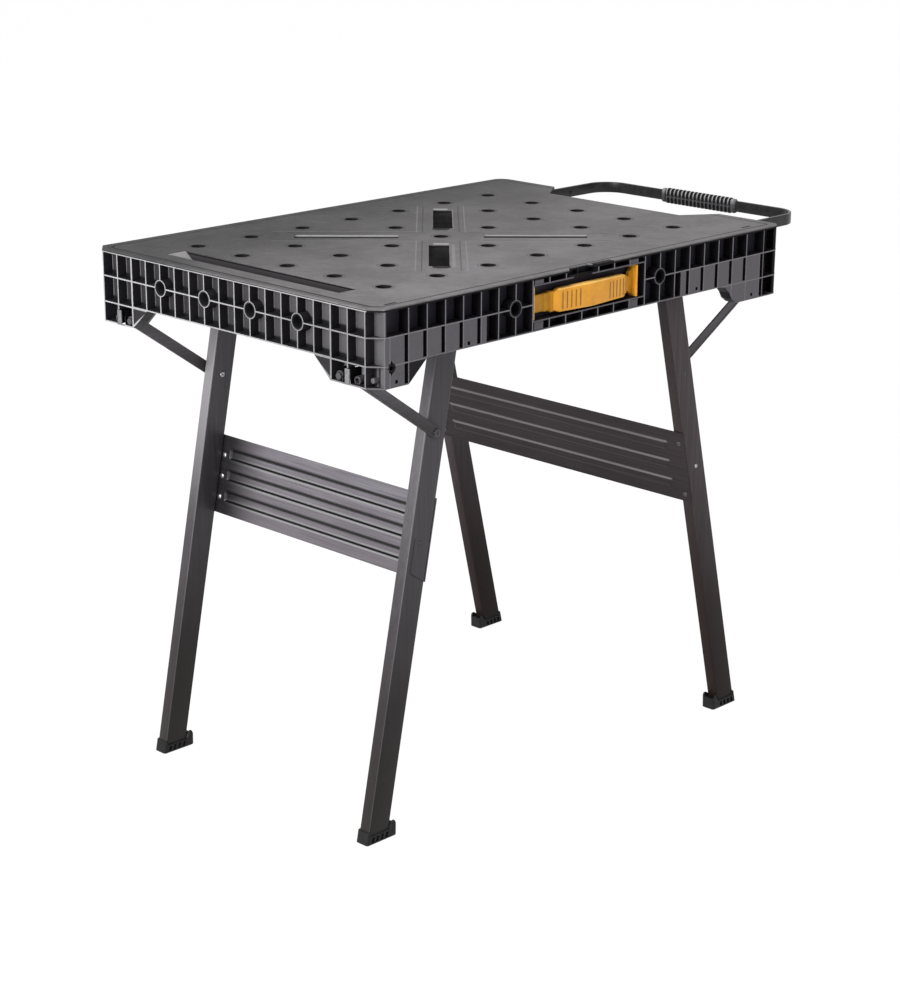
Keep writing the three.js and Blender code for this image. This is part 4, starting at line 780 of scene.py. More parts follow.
def makeBraces(spec):
    for side in ("left", "right"):
        for end in ("front", "rear"):
            node = side + "_brace_" + end
            rivet = jointPlace[side + "_brace_" + end + "_turn"].copy()
            low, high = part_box(node)
            seatX = spec["seat"][0] if side == "right" else -spec["seat"][0]
            seat = np.array([topMiddleX + seatX, 0.0, topHeight - spec["seat"][1]])
            rivet[1] = 0.0
            along = seat - rivet
            span = np.linalg.norm(along)
            along /= span
            up = np.array([-along[2], 0.0, along[0]])
            outward = -1.0 if end == "front" else 1.0
            middleY = 0.5 * (low.y + high.y)
            insets = (spec["halfWidth"], spec["edge"], 0, 0, spec["edge"], spec["rim"], spec["rim"] + spec["wall"],
                      spec["halfWidth"])
            levels = np.array((-0.0015, -0.0015, -0.001, 0.001, 0.0015, 0.0015, 0.0015 - spec["channel"],
                               0.0015 - spec["channel"]))
            turn = np.linspace(-math.pi / 2, math.pi / 2, 17)
            turn = np.concatenate([turn, turn + math.pi])
            foot = np.repeat([span, 0.0], 17)
            rings = [np.stack([foot + max(spec["halfWidth"] - k, 0) * np.cos(turn),
                               max(spec["halfWidth"] - k, 0) * np.sin(turn)], -1) for k in insets]
            grid = setIn(stackRings(rings, levels), rivet + [0, middleY, 0], (along, up, (0, outward, 0)))
            pinEnd = 0.5 * (high.y - low.y)
            pin = lathePart((0, spec["pin"], spec["pin"], 0), (-pinEnd, -pinEnd, pinEnd, pinEnd),
                            seat + [0, middleY, 0], (0, 1, 0), 20)
            makePiece(node + "_strip", [(grid, True, False), pin], finishes["brace"], node, (node,))


makeBraces(braceSpec)
print("braces made")


# panels: one sheet between the tubes; offset from its plane is a sum of three bead bumps, faded out at the ends
def makePanels(spec):
    for side, inner in (("left", 1.0), ("right", -1.0)):
        pin, down, across = legFrame(side)
        node = side + "_panel"
        low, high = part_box(node)
        legLow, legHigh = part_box(side + "_leg_rear")
        half, beadEnd = high.y, legLow.y - spec["endGap"]
        first = (spec["drops"][side] - (topHeight - pin[2])) / -down[2]
        rows = np.linspace(0, spec["height"], 122)
        span = np.concatenate([[-half], np.linspace(-beadEnd - 0.002, -beadEnd + 0.008, 12), np.linspace(-0.18, 0.18, 10),
                               np.linspace(beadEnd - 0.008, beadEnd + 0.002, 12), [half]])
        centres = np.array(spec["centres"])
        gap = np.abs(rows[None, :] - centres[:, None])
        smooth = lambda t: np.clip(t, 0, 1) ** 2 * (3 - 2 * np.clip(t, 0, 1))
        bump = smooth((spec["beadHalf"] - gap) / spec["slope"]).sum(0)
        fade = smooth((beadEnd - np.abs(span)) / spec["fade"])
        offset = inner * (spec["offset"] + spec["bead"][side] * fade[:, None] * bump[None, :])
        faceA = np.stack([offset, np.repeat(span[:, None], len(rows), 1), np.repeat(first + rows[None, :], len(span), 0)], -1)
        faceB = faceA + [inner * spec["sheet"], 0, 0]
        loop = np.concatenate([faceA, faceB[:, ::-1]], 1)
        flatEnd = loop.copy()[[0, -1]]
        flatEnd[..., 0] = inner * (spec["offset"] + 0.5 * spec["sheet"])
        grid = np.concatenate([flatEnd[:1], loop, flatEnd[1:]], 0)
        grid = setIn(grid, pin * [1, 0, 1], (across, (0, 1, 0), down))
        makePiece(node + "_sheet", [(grid, False, True)], finishes[side + "Panel"], side + "_frame", (node,), 25.0)


makePanels(panelSpec)
print("panels made")


# boots: wall round a rounded plan, sheared with the leg; rim height and side slots are functions of the way round
bootSpec = {"corner": 0.004, "heel": 0.0200, "rim": 0.0140, "toe": 0.0250, "toeRun": 0.013, "slots": 4, "slotDepth": 0.0024,
            "slotLow": 0.0030, "slotHigh": 0.0110, "slotShare": 0.55, "wall": 0.0022}


def makeBoots(spec):
    smooth = lambda t: np.clip(t, 0, 1) ** 2 * (3 - 2 * np.clip(t, 0, 1))
    for side in ("left", "right"):
        pin, down, across = legFrame(side)
        inner = 1.0 if side == "left" else -1.0
        slope = -down[0] / -down[2]
        for end in ("front", "rear"):
            node = side + "_foot_" + end
            low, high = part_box(node)
            footX = pin[0] + down[0] * pin[2] / -down[2]
            heelX = footX - inner * (0.020 / -down[2] + spec["wall"])
            toeX = high.x if inner > 0 else low.x
            length = abs(toeX - heelX)
            half = np.array([length / 2, (high.y - low.y) / 2])
            plan = roundedRing(half[0], half[1], spec["corner"], 7)
            # the plan resampled evenly along its length, fine enough for the slots
            ring = np.concatenate([plan, plan[:1]])
            way = np.concatenate([[0], np.cumsum(np.linalg.norm(np.diff(ring, axis=0), axis=1))])
            steps = np.linspace(0, way[-1], 420, endpoint=False)
            plan = np.stack([np.interp(steps, way, ring[:, 0]), np.interp(steps, way, ring[:, 1])], -1)
            fromHeel = plan[:, 0] + half[0]
            onSide = np.abs(plan[:, 1]) > half[1] - 0.0005
            heelPart = 1 - smooth((fromHeel - 0.0035) / 0.002)
            toePart = smooth((fromHeel - (length - spec["toeRun"] - 0.003)) / 0.005)
            toeDip = 0.006 * smooth((fromHeel - (length - 0.007)) / 0.007)
            rim = spec["rim"] + (spec["heel"] - spec["rim"]) * heelPart + (spec["toe"] - spec["rim"] - toeDip) * toePart
            pitch = (length - spec["toeRun"] - 0.010) / spec["slots"]
            phase = (fromHeel - 0.006) / pitch
            inSlot = (phase > 0) & (phase < spec["slots"]) & (np.abs(phase % 1 - 0.5) < spec["slotShare"] / 2) & onSide
            normal = np.stack([plan[:, 0] * 0, np.sign(plan[:, 1])], -1)
            share = lambda inset: plan * (1 - inset / half)
            slot = plan - normal * (spec["slotDepth"] * inSlot)[:, None]
            flat = np.ones(len(plan))
            lid = rim - 0.001
            shelf = np.stack([np.minimum(plan[:, 0], half[0] - spec["toeRun"] - 0.0015), plan[:, 1] * 0.80], -1)
            rings = [plan * 0, share(0.0012), plan, plan, slot, slot, plan, plan, share(0.0010), share(0.0022), shelf, plan * 0]
            levels = [0 * flat, 0 * flat, 0.0010 * flat, spec["slotLow"] * flat, (spec["slotLow"] + 0.0004) * flat,
                      (spec["slotHigh"] - 0.0004) * flat, spec["slotHigh"] * flat, rim - 0.0012, rim - 0.0003, rim,
                      np.maximum(lid, spec["rim"]), lid * 0 + 0.009]
            local = np.concatenate([np.stack(rings, 1), np.stack(levels, 1)[..., None]], -1)
            lean = np.clip(1 - (local[..., 0] + half[0] - (length - spec["toeRun"])) / spec["toeRun"], 0, 1)
            x = 0.5 * (heelX + toeX) + inner * local[..., 0] + slope * local[..., 2] * lean
            grid = np.stack([x, 0.5 * (low.y + high.y) + local[..., 1], local[..., 2]], -1)
            makePiece(node + "_boot", [(grid, True, False)], finishes["boot"], side + "_frame", (node,), 28.0)


makeBoots(bootSpec)
print("boots made")


# fasteners: domed rivet heads, pan heads with a dimple, and the tails that show on the far side of the tubes
headSpec = {"rivet": (0.0062, 0.0016), "screw": (0.0042, 0.0016), "tail": (0.0044, 0.0010), "bolt": (0.0032, 0.0012),
            "panelRivet": (0.0040, 0.0018), "panelRivetDrops": (0.331, 0.363, 0.395), "boltDrop": 0.3635}


def domePart(radius, rise, origin, axis, count=28, dimple=0.0):
    # quarter-ellipse profile from the rim to the crown, closed by a flat back, with a dimple of given share
    t = np.linspace(0, math.pi / 2, 7)
    radii = np.concatenate([[0], radius * np.cos(t) * (1 - dimple) + dimple * radius, [0]])
    heights = np.concatenate([[0], rise * np.sin(t), [rise * (1 - 1.4 * (dimple > 0))]])
    return lathePart(radii, heights, origin, axis, count)


def makeFasteners(spec):
    for side in ("left", "right"):
        pin, down, across = legFrame(side)
        inner = 1.0 if side == "left" else -1.0
        for end, outward in (("front", -1.0), ("rear", 1.0)):
            rivet = side + "_brace_rivet_" + end
            low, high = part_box(rivet)
            centre = np.array([0.5 * (low.x + high.x), 0.0, 0.5 * (low.z + high.z)])
            legLow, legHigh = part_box(side + "_leg_" + end)
            outerFace = legLow.y if outward < 0 else legHigh.y
            innerFace = legHigh.y if outward < 0 else legLow.y
            braceOut = outward if side == "left" else -outward
            headY = (low.y if braceOut < 0 else high.y) - braceOut * 0.0013
            tailY = innerFace if side == "left" else outerFace
            radius, rise = spec["rivet"]
            head = domePart(radius, rise, centre + [0, headY, 0], (0, braceOut, 0), 32, 0.35)
            tailRadius, tailRise = spec["tail"]
            tail = domePart(tailRadius, tailRise, centre + [0, tailY, 0], (0, -braceOut, 0), 24, 0.45)
            makePiece(rivet + "_head", [head], finishes["rivet"], side + "_frame", (rivet,))
            tailFinish = finishes["zinc" if (side, end) == ("left", "rear") else "dull"]
            makePiece(rivet + "_tail", [tail], tailFinish, side + "_frame")
            boltRadius, boltRise = spec["bolt"]
            reach = (spec["boltDrop"] - (topHeight - pin[2])) / -down[2]
            boltAt = pin * [1, 0, 1] + down * reach + [0, outerFace, 0]
            bolt = domePart(boltRadius, boltRise, boltAt, (0, outward, 0), 20, 0.4)
            boltFinish = finishes["dull" if (side, end) == ("left", "front") else "zinc"]
            makePiece(side + "_panel_bolt_" + end, [bolt], boltFinish, side + "_frame")
            for index in ("1", "2"):
                screw = side + "_screw_" + end + "_" + index
                low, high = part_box(screw)
                middle = np.array([0.5 * (low.x + high.x), 0.5 * (low.y + high.y), 0.5 * (low.z + high.z)])
                offset = (middle - pin) @ across
                seat = middle + across * (inner * (panelSpec["offset"] + panelSpec["sheet"]) - offset)
                screwRadius, screwRise = spec["screw"]
                head = domePart(screwRadius, screwRise, seat, across * inner, 24, 0.3)
                makePiece(screw + "_head", [head], finishes["dull"], side + "_frame", (screw,))
            # rivets of the panel's end strap, on the side away from the other frame
            strapY = (innerFace - outward * 0.0055)
            parts = []
            for drop in spec["panelRivetDrops"]:
                reach = (drop - (topHeight - pin[2])) / -down[2]
                at = pin * [1, 0, 1] + down * reach + across * (inner * panelSpec["offset"]) + [0, strapY, 0]
                parts.append(domePart(*spec["panelRivet"], at, -across * inner, 18))
            strapFinish = finishes["zinc" if (side, end) == ("left", "rear") else "dull"]
            makePiece(side + "_strap_rivets_" + end, parts, strapFinish, side + "_frame")


makeFasteners(headSpec)
print("fasteners made")


# carry handle: grip and necks are swept sections between height and depth curves, held by two end flanges
carrySpec = {
    "middle": -0.014, "flanges": ((-0.1195, -0.1165), (0.1020, 0.1050)), "flangeTop": 0.0140, "flangeLow": 0.0612,
    "grip": {"keys": (-0.0735, -0.0660, -0.0625, 0.0, 0.0745, 0.0775, 0.0800), "high": (0.0288, 0.0252, 0.0242, 0.0238, 0.0243, 0.0249, 0.0268),
             "low": (0.0545, 0.0572, 0.0580, 0.0588, 0.0580, 0.0572, 0.0550), "front": (-0.2955, -0.2980, -0.2990, -0.3030, -0.2990, -0.2985, -0.2965),
             "back": (-0.2880, -0.2880, -0.2880, -0.2905, -0.2880, -0.2880, -0.2880)},
    "leftNeck": {"keys": (-0.1170, -0.0900, -0.0885, -0.0790, -0.0775, -0.0715), "high": (0.0290, 0.0290, 0.0285, 0.0285, 0.0270, 0.0270),
                 "low": (0.0545, 0.0545, 0.0550, 0.0550, 0.0565, 0.0565), "front": (-0.2895, -0.2895, -0.2910, -0.2910, -0.2945, -0.2945),
                 "back": (-0.2845, -0.2845, -0.2845, -0.2845, -0.2850, -0.2870)},
    "rightNeck": {"keys": (0.0795, 0.0850, 0.0865, 0.0930, 0.0945, 0.1025), "high": (0.0270, 0.0270, 0.0300, 0.0300, 0.0240, 0.0190),
                  "low": (0.0545, 0.0545, 0.0525, 0.0525, 0.0560, 0.0590), "front": (-0.2950, -0.2950, -0.2920, -0.2920, -0.2910, -0.2905),
                  "back": (-0.2870, -0.2860, -0.2850, -0.2850, -0.2850, -0.2850)},
    "edge": 0.0022,
}


def sweptPart(curves, edge, shift, count=90):
    # rounded section whose height and depth follow curves of the way along x
    keys = np.array(curves["keys"])
    way = np.unique(np.concatenate([keys, np.linspace(keys[0], keys[-1], count)]))
    high, low = (topHeight - np.interp(way, keys, curves[name]) for name in ("high", "low"))
    front, back = (np.interp(way, keys, curves[name]) for name in ("front", "back"))
    ring = roundedRing(1.0, 1.0, 0.5, 6)
    flatPart = np.sign(ring)
    roundPart = 2.0 * (ring - 0.5 * flatPart)
    halfY, halfZ = 0.5 * (back - front), 0.5 * (high - low)
    y = 0.5 * (front + back)[:, None] + flatPart[None, :, 0] * (halfY - edge)[:, None] + edge * roundPart[None, :, 0]
    z = 0.5 * (high + low)[:, None] + flatPart[None, :, 1] * (halfZ - edge)[:, None] + edge * roundPart[None, :, 1]
    grid = np.stack([np.repeat((shift + way)[:, None], len(ring), 1), y, z], -1)
    ends = grid[[0, -1]].mean(1, keepdims=True) + 0 * grid[[0, -1]]
    return (np.concatenate([ends[:1], grid, ends[1:]], 0), False, True)


def makeCarryHandle(spec):
    shift = topMiddleX + spec["middle"]
    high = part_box("carry_handle")[1]
    parts = [sweptPart(spec["grip"], spec["edge"], shift)]
    for x0, x1 in spec["flanges"]:
        parts.append(blockPart((shift + x0, -0.2995, topHeight - spec["flangeLow"]),
                               (shift + x1, high.y, topHeight - spec["flangeTop"]), 0.0010, 0.0007))
    makePiece("carry_handle_moulding", parts, finishes["yellow"], "top", ("carry_handle",), 30.0)
    necks = [sweptPart(spec[name], 0.0012, shift, 40) for name in ("leftNeck", "rightNeck")]
    makePiece("carry_handle_necks", necks, finishes["neck"], "top", (), 30.0)


makeCarryHandle(carrySpec)
print("carry handle made")


# pull handle: a rounded strip carried along two arms and two bends, and a grip whose width ripples along the bar
pullSpec = {"bend": 0.045, "half": 0.212, "strip": (0.005, 0.018), "edge": 0.0011, "ribs": 17, "collar": 0.009,
            "grip": (0.0150, 0.0260), "ribDepth": 0.0026, "seam": 0.0016, "hole": (0.423, 0.0040)}


def makePullHandle(spec):
    low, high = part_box("pull_strip")
    middleZ = 0.5 * (low.z + high.z)
    outer = high.x - spec["strip"][0] / 2
    side = spec["half"] - spec["strip"][0] / 2
    radius = spec["bend"] - spec["strip"][0] / 2
    bend = np.linspace(0, math.pi / 2, 15)
    start = low.x + 0.0002
    pathX = np.concatenate([[start, start + 0.0006], outer - radius + radius * np.sin(bend),
                            outer - radius + radius * np.sin(bend[::-1]), [start + 0.0006, start]])
    pathY = np.concatenate([[-side, -side], -side + radius - radius * np.cos(bend),
                            side - radius + radius * np.cos(bend[::-1]), [side, side]])
    outX = np.concatenate([[0, 0], np.sin(bend), np.sin(bend[::-1]), [0, 0]])
    outY = np.concatenate([[-1, -1], -np.cos(bend), np.cos(bend[::-1]), [1, 1]])
    section = roundedRing(spec["strip"][0] / 2, spec["strip"][1] / 2, spec["edge"], 5)
    grow = np.ones(len(pathX))
    grow[[0, -1]] = 0.0
    across = section[None, :, 0] * grow[:, None]
    grid = np.stack([pathX[:, None] + outX[:, None] * across, pathY[:, None] + outY[:, None] * across,
                     middleZ + section[None, :, 1] * grow[:, None]], -1)
    eyelet = domePart(spec["hole"][1], 0.0003, (topMiddleX + 0.5125, spec["half"] - spec["strip"][0], middleZ - 0.0002), (0, -1, 0), 24, 0.6)
    stops = [blockPart((low.x, s * 0.2135 - 0.0015, low.z + 0.0004), (low.x + 0.005, s * 0.2135 + 0.0015, high.z - 0.0004),
                       0.0006, 0.0005) for s in (-1, 1)]
    makePiece("pull_strip_bent", [(grid, False, True), *stops], finishes["strip"], "pull_handle", ("pull_strip",), 40.0)
    makePiece("pull_strip_hole", [eyelet], finishes["boot"], "pull_handle")
    gripLow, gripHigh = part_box("pull_grip")
    half = 0.5 * (gripHigh.y - gripLow.y)
    way = np.linspace(-half, half, 409)
    inside = half - spec["collar"]
    pitch = 2 * inside / spec["ribs"]
    wave = 0.5 + 0.5 * np.cos(2 * math.pi * way / pitch)
    rib = np.where(np.abs(way) < inside, np.clip((wave - 0.32) / 0.36, 0, 1), 0.55)
    ease = np.sqrt(np.clip((half - np.abs(way)) / 0.0022, 0, 1))
    shrink = spec["ribDepth"] * (1 - rib) + 0.0030 * (1 - ease)
    turn = np.linspace(0, 2 * math.pi, 64, endpoint=False)
    # section: superellipse of power 3, pinched at mid height by the mould seam
    power = lambda c: np.sign(c) * np.abs(c) ** (2 / 3.0)
    sectionX = power(np.cos(turn)) * spec["grip"][0] / 2
    sectionZ = power(np.sin(turn)) * spec["grip"][1] / 2
    seam = spec["seam"] * np.exp(-(sectionZ / 0.0011) ** 2)
    shrinkX = 1 - shrink[:, None] / (spec["grip"][0] / 2) - seam[None, :] / (spec["grip"][0] / 2) * (np.abs(way) < inside)[:, None]
    shrinkZ = 1 - shrink[:, None] / (spec["grip"][1] / 2)
    grid = np.stack([outer + sectionX[None, :] * shrinkX, np.repeat(way[:, None], 64, 1), middleZ + sectionZ[None, :] * shrinkZ], -1)
    core = roundedRing(0.0024, 0.0088, 0.001, 16)
    ends = [np.stack([outer + core[:, 0], np.full(64, end), middleZ + core[:, 1]], -1) for end in (-half, half)]
    grid = np.concatenate([ends[0][None], grid, ends[1][None]], 0)
    makePiece("pull_grip_ribbed", [(grid, False, True)], finishes["grip"], "pull_handle", ("pull_grip",), 50.0)


makePullHandle(pullSpec)
print("pull handle made")


# tray ramps: the two ends of the tray slope down from the deck, height falling with the way in
traySpec = {"run": 0.030, "deep": 0.0210, "lip": 0.0006, "clear": 0.0003}


def makeTrayRamps(spec):
    low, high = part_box("tool_tray")
    wall = 0.0025
    x0, x1 = low.x + wall + spec["clear"], high.x - wall - spec["clear"]
    parts = []
    for end in (-1, 1):
        outer = end * (0.5 * (high.y - low.y) - wall - spec["clear"])
        inner = outer - end * spec["run"]
        profile = np.array([[outer, topHeight - spec["lip"]], [outer - end * 0.002, topHeight - spec["lip"]],
                            [inner, topHeight - spec["deep"]], [outer, topHeight - spec["deep"]]])
        ring = np.concatenate([profile, profile[:1]])[:-1]
        levels = np.array([x0, x0, x1, x1])
        shrink = np.array([0.0, 1.0, 1.0, 0.0])
        middle = ring.mean(0)
        section = middle + (ring[None] - middle) * shrink[:, None, None]
        grid = np.concatenate([np.repeat(levels[:, None, None], 4, 1), section], -1)
        parts.append((grid, False, True))
    makePiece("tool_tray_ramps", parts, finishes["tray"], "top")


makeTrayRamps(traySpec)
print("tray ramps made")


# vee grooves: a trough whose two flanks start just under the deck's face and meet at a blunt bottom
grooveSpec = {"half": 0.0129, "lip": 0.00035, "depth": 0.0090, "under": 0.00405, "outer": 0.0160, "low": 0.0170, "length": 0.0779}


def makeGrooves(spec):
    for node in ("vee_groove_1", "vee_groove_2"):
        low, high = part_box(node)
        middle = np.array([0.5 * (low.x + high.x), 0.5 * (low.y + high.y), topHeight])
        half, outer = spec["half"], spec["outer"]
        ring = np.array([(-outer, -spec["low"]), (outer, -spec["low"]), (outer, -spec["under"]), (half, -spec["under"]),
                         (half, -spec["lip"]), (0.0008, -spec["depth"]), (-0.0008, -spec["depth"]), (-half, -spec["lip"]),
                         (-half, -spec["under"]), (-outer, -spec["under"])])
        heart = np.array([0.0, -0.0130])
        section = np.stack([heart + (ring - heart) * k for k in (0.0, 1.0, 1.0, 0.0)], 0)
        along = np.repeat(np.array([-1, -1, 1, 1])[:, None, None] * spec["length"], len(ring), 1)
        local = np.concatenate([along, section], -1)
        root = math.sqrt(0.5)
        grid = setIn(local, middle, ((root, -root, 0), (root, root, 0), (0, 0, 1)))
        makePiece(node + "_flanks", [(grid, False, True)], finishes["groove"], "top", (node,), 25.0)


makeGrooves(grooveSpec)
print("grooves made")


# liners: collars under the dog holes, and sleeves under the clamp windows with a deeper far end, dark as painted shade
linerSpec = {"hole": (0.0107, 0.0120), "from": 0.00405, "holeLow": 0.0120, "middle": -0.014, "pitch": (0.103, 0.0985),
             "windows": (((1, 1), 0.045), ((-1, -1), 0.039)), "grooves": ((-1, 1), (1, -1)), "window": (0.0781, 0.0151),
             "wall": 0.0012, "windowLow": 0.0210}


def makeLiners(spec):
    taken = [place for place, depth in spec["windows"]] + list(spec["grooves"])
    parts, sleeves = [], []
    for column in range(-3, 4):
        for row in range(-2, 3):
            if (column, row) not in taken:
                at = (topMiddleX + spec["middle"] + column * spec["pitch"][0], row * spec["pitch"][1], topHeight)
                parts.append(tubePart(*spec["hole"], -spec["from"], -spec["holeLow"], at))
    root = math.sqrt(0.5)
    axes = ((root, root, 0), (-root, root, 0), (0, 0, 1))
    inner = roundedRing(*spec["window"], 0.001, 4)
    outer = roundedRing(spec["window"][0] + spec["wall"], spec["window"][1] + spec["wall"], 0.002, 4)
    for (column, row), apron in spec["windows"]:
        at = (topMiddleX + spec["middle"] + column * spec["pitch"][0], row * spec["pitch"][1], topHeight)
        sleeve = stackRings([inner, outer, outer, inner], (-spec["from"], -spec["from"], -spec["windowLow"], -spec["windowLow"]))
        sleeves.append((setIn(sleeve, at, axes), True, True))
        far = spec["window"][0] + spec["wall"]
        grid, wrapU, wrapV = blockPart((far, -outer[:, 1].max(), -apron), (far + spec["wall"], outer[:, 1].max(), -spec["from"]), 0.0004, 0.0003)
        sleeves.append((setIn(grid, at, axes), wrapU, wrapV))
    makePiece("deck_hole_liners", parts, finishes["liner"], "top", (), 40.0)
    makePiece("deck_window_liners", sleeves, finishes["window"], "top", (), 40.0)


makeLiners(linerSpec)
print("liners made")


# brace brackets: a plate and two cheeks in each left corner post, with a hexagon bolt and a round boss beside it
bracketSpec = {"plate": ((-0.4366, -0.4342), (0.2400, 0.2490), (0.1062, 0.0860)), "cheeks": ((0.2337, 0.2345), (0.2479, 0.2487)),
               "cheekReach": (-0.4335, -0.4125), "cheekDrops": (0.1072, 0.0850), "bolt": (-0.4300, 0.2245, 0.1005), "boltRadius": 0.0056,
               "boss": (-0.4290, 0.2565, 0.1015), "bossRadius": 0.0062, "barSpan": (0.2331, 0.2491), "barDrops": (0.1079, 0.1060), "barDepth": 0.0016,
               "cornerBoss": (-0.4290, 0.2850, 0.0968), "cornerRadius": 0.0040}


def makeBrackets(spec):
    for end, out in (("front", -1.0), ("rear", 1.0)):
        span = lambda pair: sorted(out * v for v in pair)
        (x0, x1), (y0, y1), (z0, z1) = spec["plate"][0], span(spec["plate"][1]), spec["plate"][2]
        plate = blockPart((topMiddleX + x0, y0, topHeight - z0), (topMiddleX + x1, y1, topHeight - z1), 0.0008, 0.0006)
        boltX, boltY, boltDrop = spec["bolt"]
        at = np.array([topMiddleX + boltX, out * boltY, topHeight - boltDrop])
        radius = spec["boltRadius"]
        bolt = lathePart((0, radius, radius, radius * 0.92, 0), (0, 0, 0.0032, 0.0038, 0.0038), at, (-1, 0, 0), 6)
        washer = lathePart((0, 1.35 * radius, 1.35 * radius, 0), (-0.0010, -0.0010, 0.0003, 0.0003), at, (-1, 0, 0), 28)
        barY = span(spec["barSpan"])
        bar = blockPart((topMiddleX + x0, barY[0], topHeight - spec["barDrops"][0]),
                        (topMiddleX + x0 + spec["barDepth"], barY[1], topHeight - spec["barDrops"][1]), 0.0003, 0.0002)
        makePiece("bracket_plate_" + end, [plate, bar], finishes["bracket"], "top")
        makePiece("bracket_bolt_" + end, [bolt, washer], finishes["dull"], "top", (), 20.0)
        cheeks = []
        for pair in spec["cheeks"]:
            y0, y1 = span(pair)
            cheeks.append(blockPart((topMiddleX + spec["cheekReach"][0], y0, topHeight - spec["cheekDrops"][0]),
                                    (topMiddleX + spec["cheekReach"][1], y1, topHeight - spec["cheekDrops"][1]), 0.0003, 0.0002))
        makePiece("bracket_cheeks_" + end, cheeks, finishes["liner"], "top")
        bossX, bossY, bossDrop = spec["boss"]
        boss = lathePart(np.array((0, 1, 1, 0.9, 0.62, 0.62, 0)) * spec["bossRadius"], (-0.015, -0.015, -0.0006, 0, 0, -0.006, -0.006),
                         (topMiddleX + bossX, out * bossY, topHeight - bossDrop), (-1, 0, 0), 28)
        makePiece("bracket_boss_" + end, [boss], finishes["rivet"], "top")
        cornerX, cornerY, cornerDrop = spec["cornerBoss"]
        cornerBoss = lathePart(np.array((0, 1, 1, 0.85, 0.5, 0)) * spec["cornerRadius"], (-0.0095, -0.0095, -0.0015, -0.0006, 0, 0.0002),
                               (topMiddleX + cornerX, out * cornerY, topHeight - cornerDrop), (-1, 0, 0), 24)
        makePiece("corner_boss_" + end, [cornerBoss], finishes["blank"], "top")


makeBrackets(bracketSpec)
print("brackets made")


# skirt fillings: a curved skin behind the ribs at each right corner, near black as painted shade, and four small blanks
# at the handle recess in the painted-light grey
skinSpec = {"centre": (0.416, 0.280), "radius": (0.0179, 0.0195), "drops": (0.0042, 0.1076), "turn": (0.35, 1.5708)}
blankSpec = {"spans": ((-0.1310, -0.1125), (0.0740, 0.0915)), "drops": ((0.0048, 0.0108), (0.0645, 0.0750)), "face": (-0.2997, -0.2985)}
backSpec = {"x": (-0.4213, -0.4135), "cells": (-2, 15), "rows": ((0.0045, 0.0376), (0.0398, 0.0763)), "ribHalf": 0.0010}


def makeSkirtFillings(skin, blank, back):
    turn = np.linspace(*skin["turn"], 14)
    parts = []
    for out in (-1.0, 1.0):
        outer = np.stack([skin["centre"][0] + skin["radius"][1] * np.cos(turn), out * (skin["centre"][1] + skin["radius"][1] * np.sin(turn))], -1)
        inner = np.stack([skin["centre"][0] + skin["radius"][0] * np.cos(turn), out * (skin["centre"][1] + skin["radius"][0] * np.sin(turn))], -1)
        ring = np.concatenate([outer, inner[::-1]]) + [topMiddleX, 0.0]
        middle = 0.5 * (np.concatenate([outer, outer[::-1]]) + np.concatenate([inner, inner[::-1]])) + [topMiddleX, 0.0]
        levels = (topHeight - skin["drops"][1], topHeight - skin["drops"][1], topHeight - skin["drops"][0], topHeight - skin["drops"][0])
        parts.append((stackRings([middle, ring, ring, middle], levels), True, False))
    makePiece("corner_skins", parts, finishes["liner"], "top", (), 40.0)
    blanks = [blockPart((topMiddleX + x0, blank["face"][0], topHeight - z1), (topMiddleX + x1, blank["face"][1], topHeight - z0), 0.0003, 0.0002)
              for x0, x1 in blank["spans"] for z0, z1 in blank["drops"]]
    makePiece("recess_blanks", blanks, finishes["blank"], "top")
    # pale plates in the end cells carry the painted light of the cell backs
    backs = []
    for cell in range(*back["cells"]):
        y0 = skirtFinish["endStart"] + cell * skirtFinish["endPitch"] + back["ribHalf"]
        y1 = y0 + skirtFinish["endPitch"] - 2 * back["ribHalf"]
        backs += [blockPart((topMiddleX + back["x"][0], y0, topHeight - low), (topMiddleX + back["x"][1], y1, topHeight - high), 0.0003, 0.0002)
                  for high, low in back["rows"]]
    makePiece("end_cell_backs", backs, finishes["cellBack"], "top")


makeSkirtFillings(skinSpec, blankSpec, backSpec)
print("skirt fillings made")


# carried-over nodes: loose triangles are welded and their edges eased, then each takes its finish
easeSpec = {"deck": 0.0007, "tray": 0.0006, "skirt": 0.0003, "plate": 0.0004, "zinc": 0.0006}


def dressNodes(spec):
    groups = (
        ("deck", ("worktop_deck",)),
        ("tray", ("tool_tray",)),
        ("skirt", tuple(n for n in nodes if n.endswith("_rail") or n.startswith(("corner_post", "pull_guide")))),
        ("plate", tuple(n for n in nodes if "_slide_plate_" in n)),
        ("zinc", tuple(n for n in nodes if "_slider_" in n)),
    )
    for kind, members in groups:
        for name in members:
            node = nodes[name]
            node.data.materials.clear()
            node.data.materials.append(finishes[kind])
            weld = node.modifiers.new("weld", "WELD")
            weld.merge_threshold = 0.00002
            ease = node.modifiers.new("ease", "BEVEL")
            ease.width = spec[kind]
            ease.segments = 2
            ease.limit_method = "ANGLE"
            ease.angle_limit = math.radians(35)
            ease.use_clamp_overlap = True


dressNodes(easeSpec)
print("nodes dressed")


# studio: white floor that keeps a shadow, soft light from the left rear, a broad overhead fill
studioSpec = {"floor": 40.0, "floorColor": (0.93, 0.93, 0.93), "floorGlow": 0.92, "glowStrength": 1.045, "ambient": 0.46}


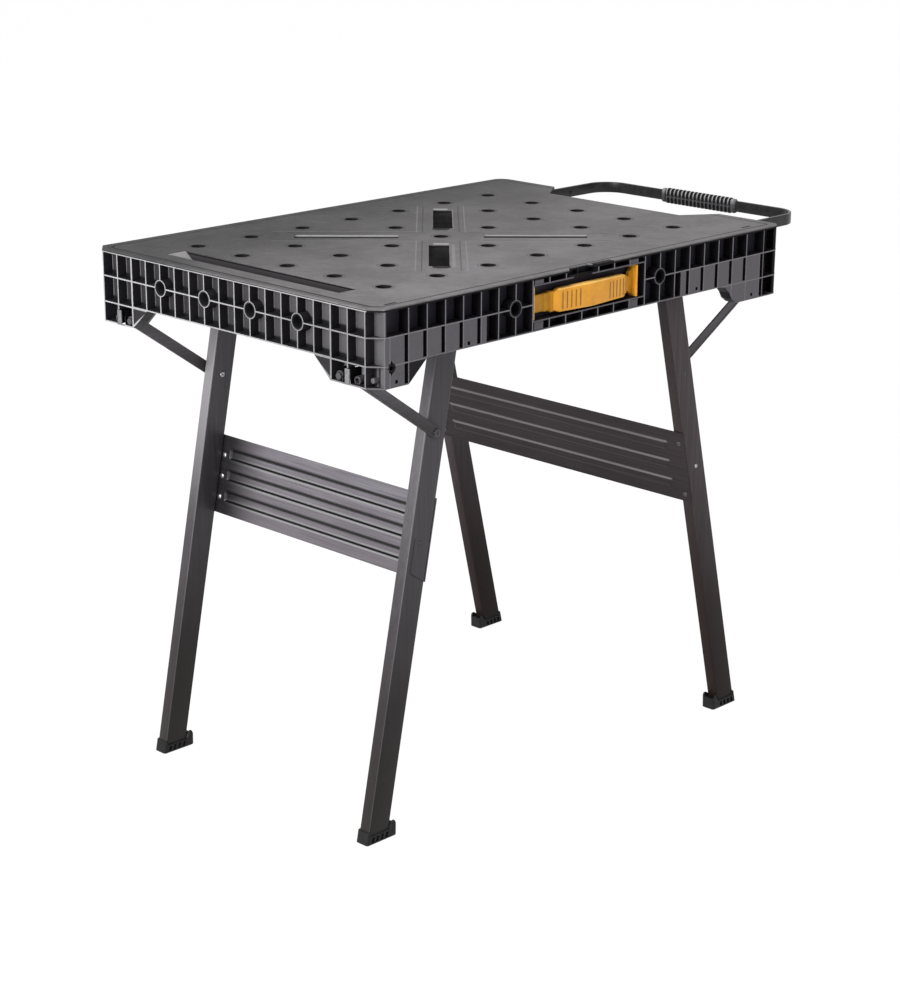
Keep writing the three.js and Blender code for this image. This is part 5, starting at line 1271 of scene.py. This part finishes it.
def makeStudio(spec):
    size = spec["floor"]
    mesh = bpy.data.meshes.new("studioFloor")
    mesh.from_pydata([(-size, -size, -0.0005), (size, -size, -0.0005), (size, size, -0.0005), (-size, size, -0.0005)], [], [(0, 1, 2, 3)])
    floor = bpy.data.objects.new("studioFloor", mesh)
    scene.collection.objects.link(floor)
    material = bpy.data.materials.new("studioFloor")
    material.use_nodes = True
    tree = material.node_tree
    tree.nodes.clear()
    out = tree.nodes.new("ShaderNodeOutputMaterial")
    matte = tree.nodes.new("ShaderNodeBsdfDiffuse")
    matte.inputs["Color"].default_value = (*spec["floorColor"], 1.0)
    glow = tree.nodes.new("ShaderNodeEmission")
    glow.inputs["Color"].default_value = (1, 1, 1, 1)
    glow.inputs["Strength"].default_value = spec["glowStrength"]
    path = tree.nodes.new("ShaderNodeLightPath")
    mix = tree.nodes.new("ShaderNodeMixShader")
    seen = calc(tree, "MAXIMUM", calc(tree, "MAXIMUM", path.outputs["Is Camera Ray"], path.outputs["Is Glossy Ray"]),
                path.outputs["Is Transmission Ray"])
    tree.links.new(calc(tree, "MULTIPLY", seen, spec["floorGlow"]), mix.inputs[0])
    tree.links.new(matte.outputs[0], mix.inputs[1])
    tree.links.new(glow.outputs[0], mix.inputs[2])
    tree.links.new(mix.outputs[0], out.inputs["Surface"])
    mesh.materials.append(material)
    world = bpy.data.worlds.new("studioWorld")
    scene.world = world
    world.use_nodes = True
    tree = world.node_tree
    tree.nodes.clear()
    out = tree.nodes.new("ShaderNodeOutputWorld")
    sky = tree.nodes.new("ShaderNodeBackground")
    path = tree.nodes.new("ShaderNodeLightPath")
    seen = calc(tree, "MAXIMUM", calc(tree, "MAXIMUM", path.outputs["Is Camera Ray"], path.outputs["Is Glossy Ray"]),
                path.outputs["Is Transmission Ray"])
    sky.inputs["Color"].default_value = (1, 1, 1, 1)
    tree.links.new(calc(tree, "MAXIMUM", seen, spec["ambient"]), sky.inputs["Strength"])
    tree.links.new(sky.outputs[0], out.inputs["Surface"])


def makeLamp(name, at, aim, size, watts):
    data = bpy.data.lights.new(name, "AREA")
    data.shape = "RECTANGLE"
    data.size, data.size_y = size
    data.energy = watts
    lamp = bpy.data.objects.new(name, data)
    lamp.location = at
    lamp.rotation_euler = (Vector(aim) - Vector(at)).to_track_quat("-Z", "Y").to_euler()
    scene.collection.objects.link(lamp)


makeStudio(studioSpec)
makeLamp("leftSoftbox", (-3.3, -0.1, 1.7), (0.0, 0.0, 0.6), (2.0, 1.6), 150.0)
makeLamp("overheadSoftbox", (-0.6, -0.6, 3.4), (0.0, 0.0, 0.6), (3.0, 3.0), 62.0)
print("studio made")
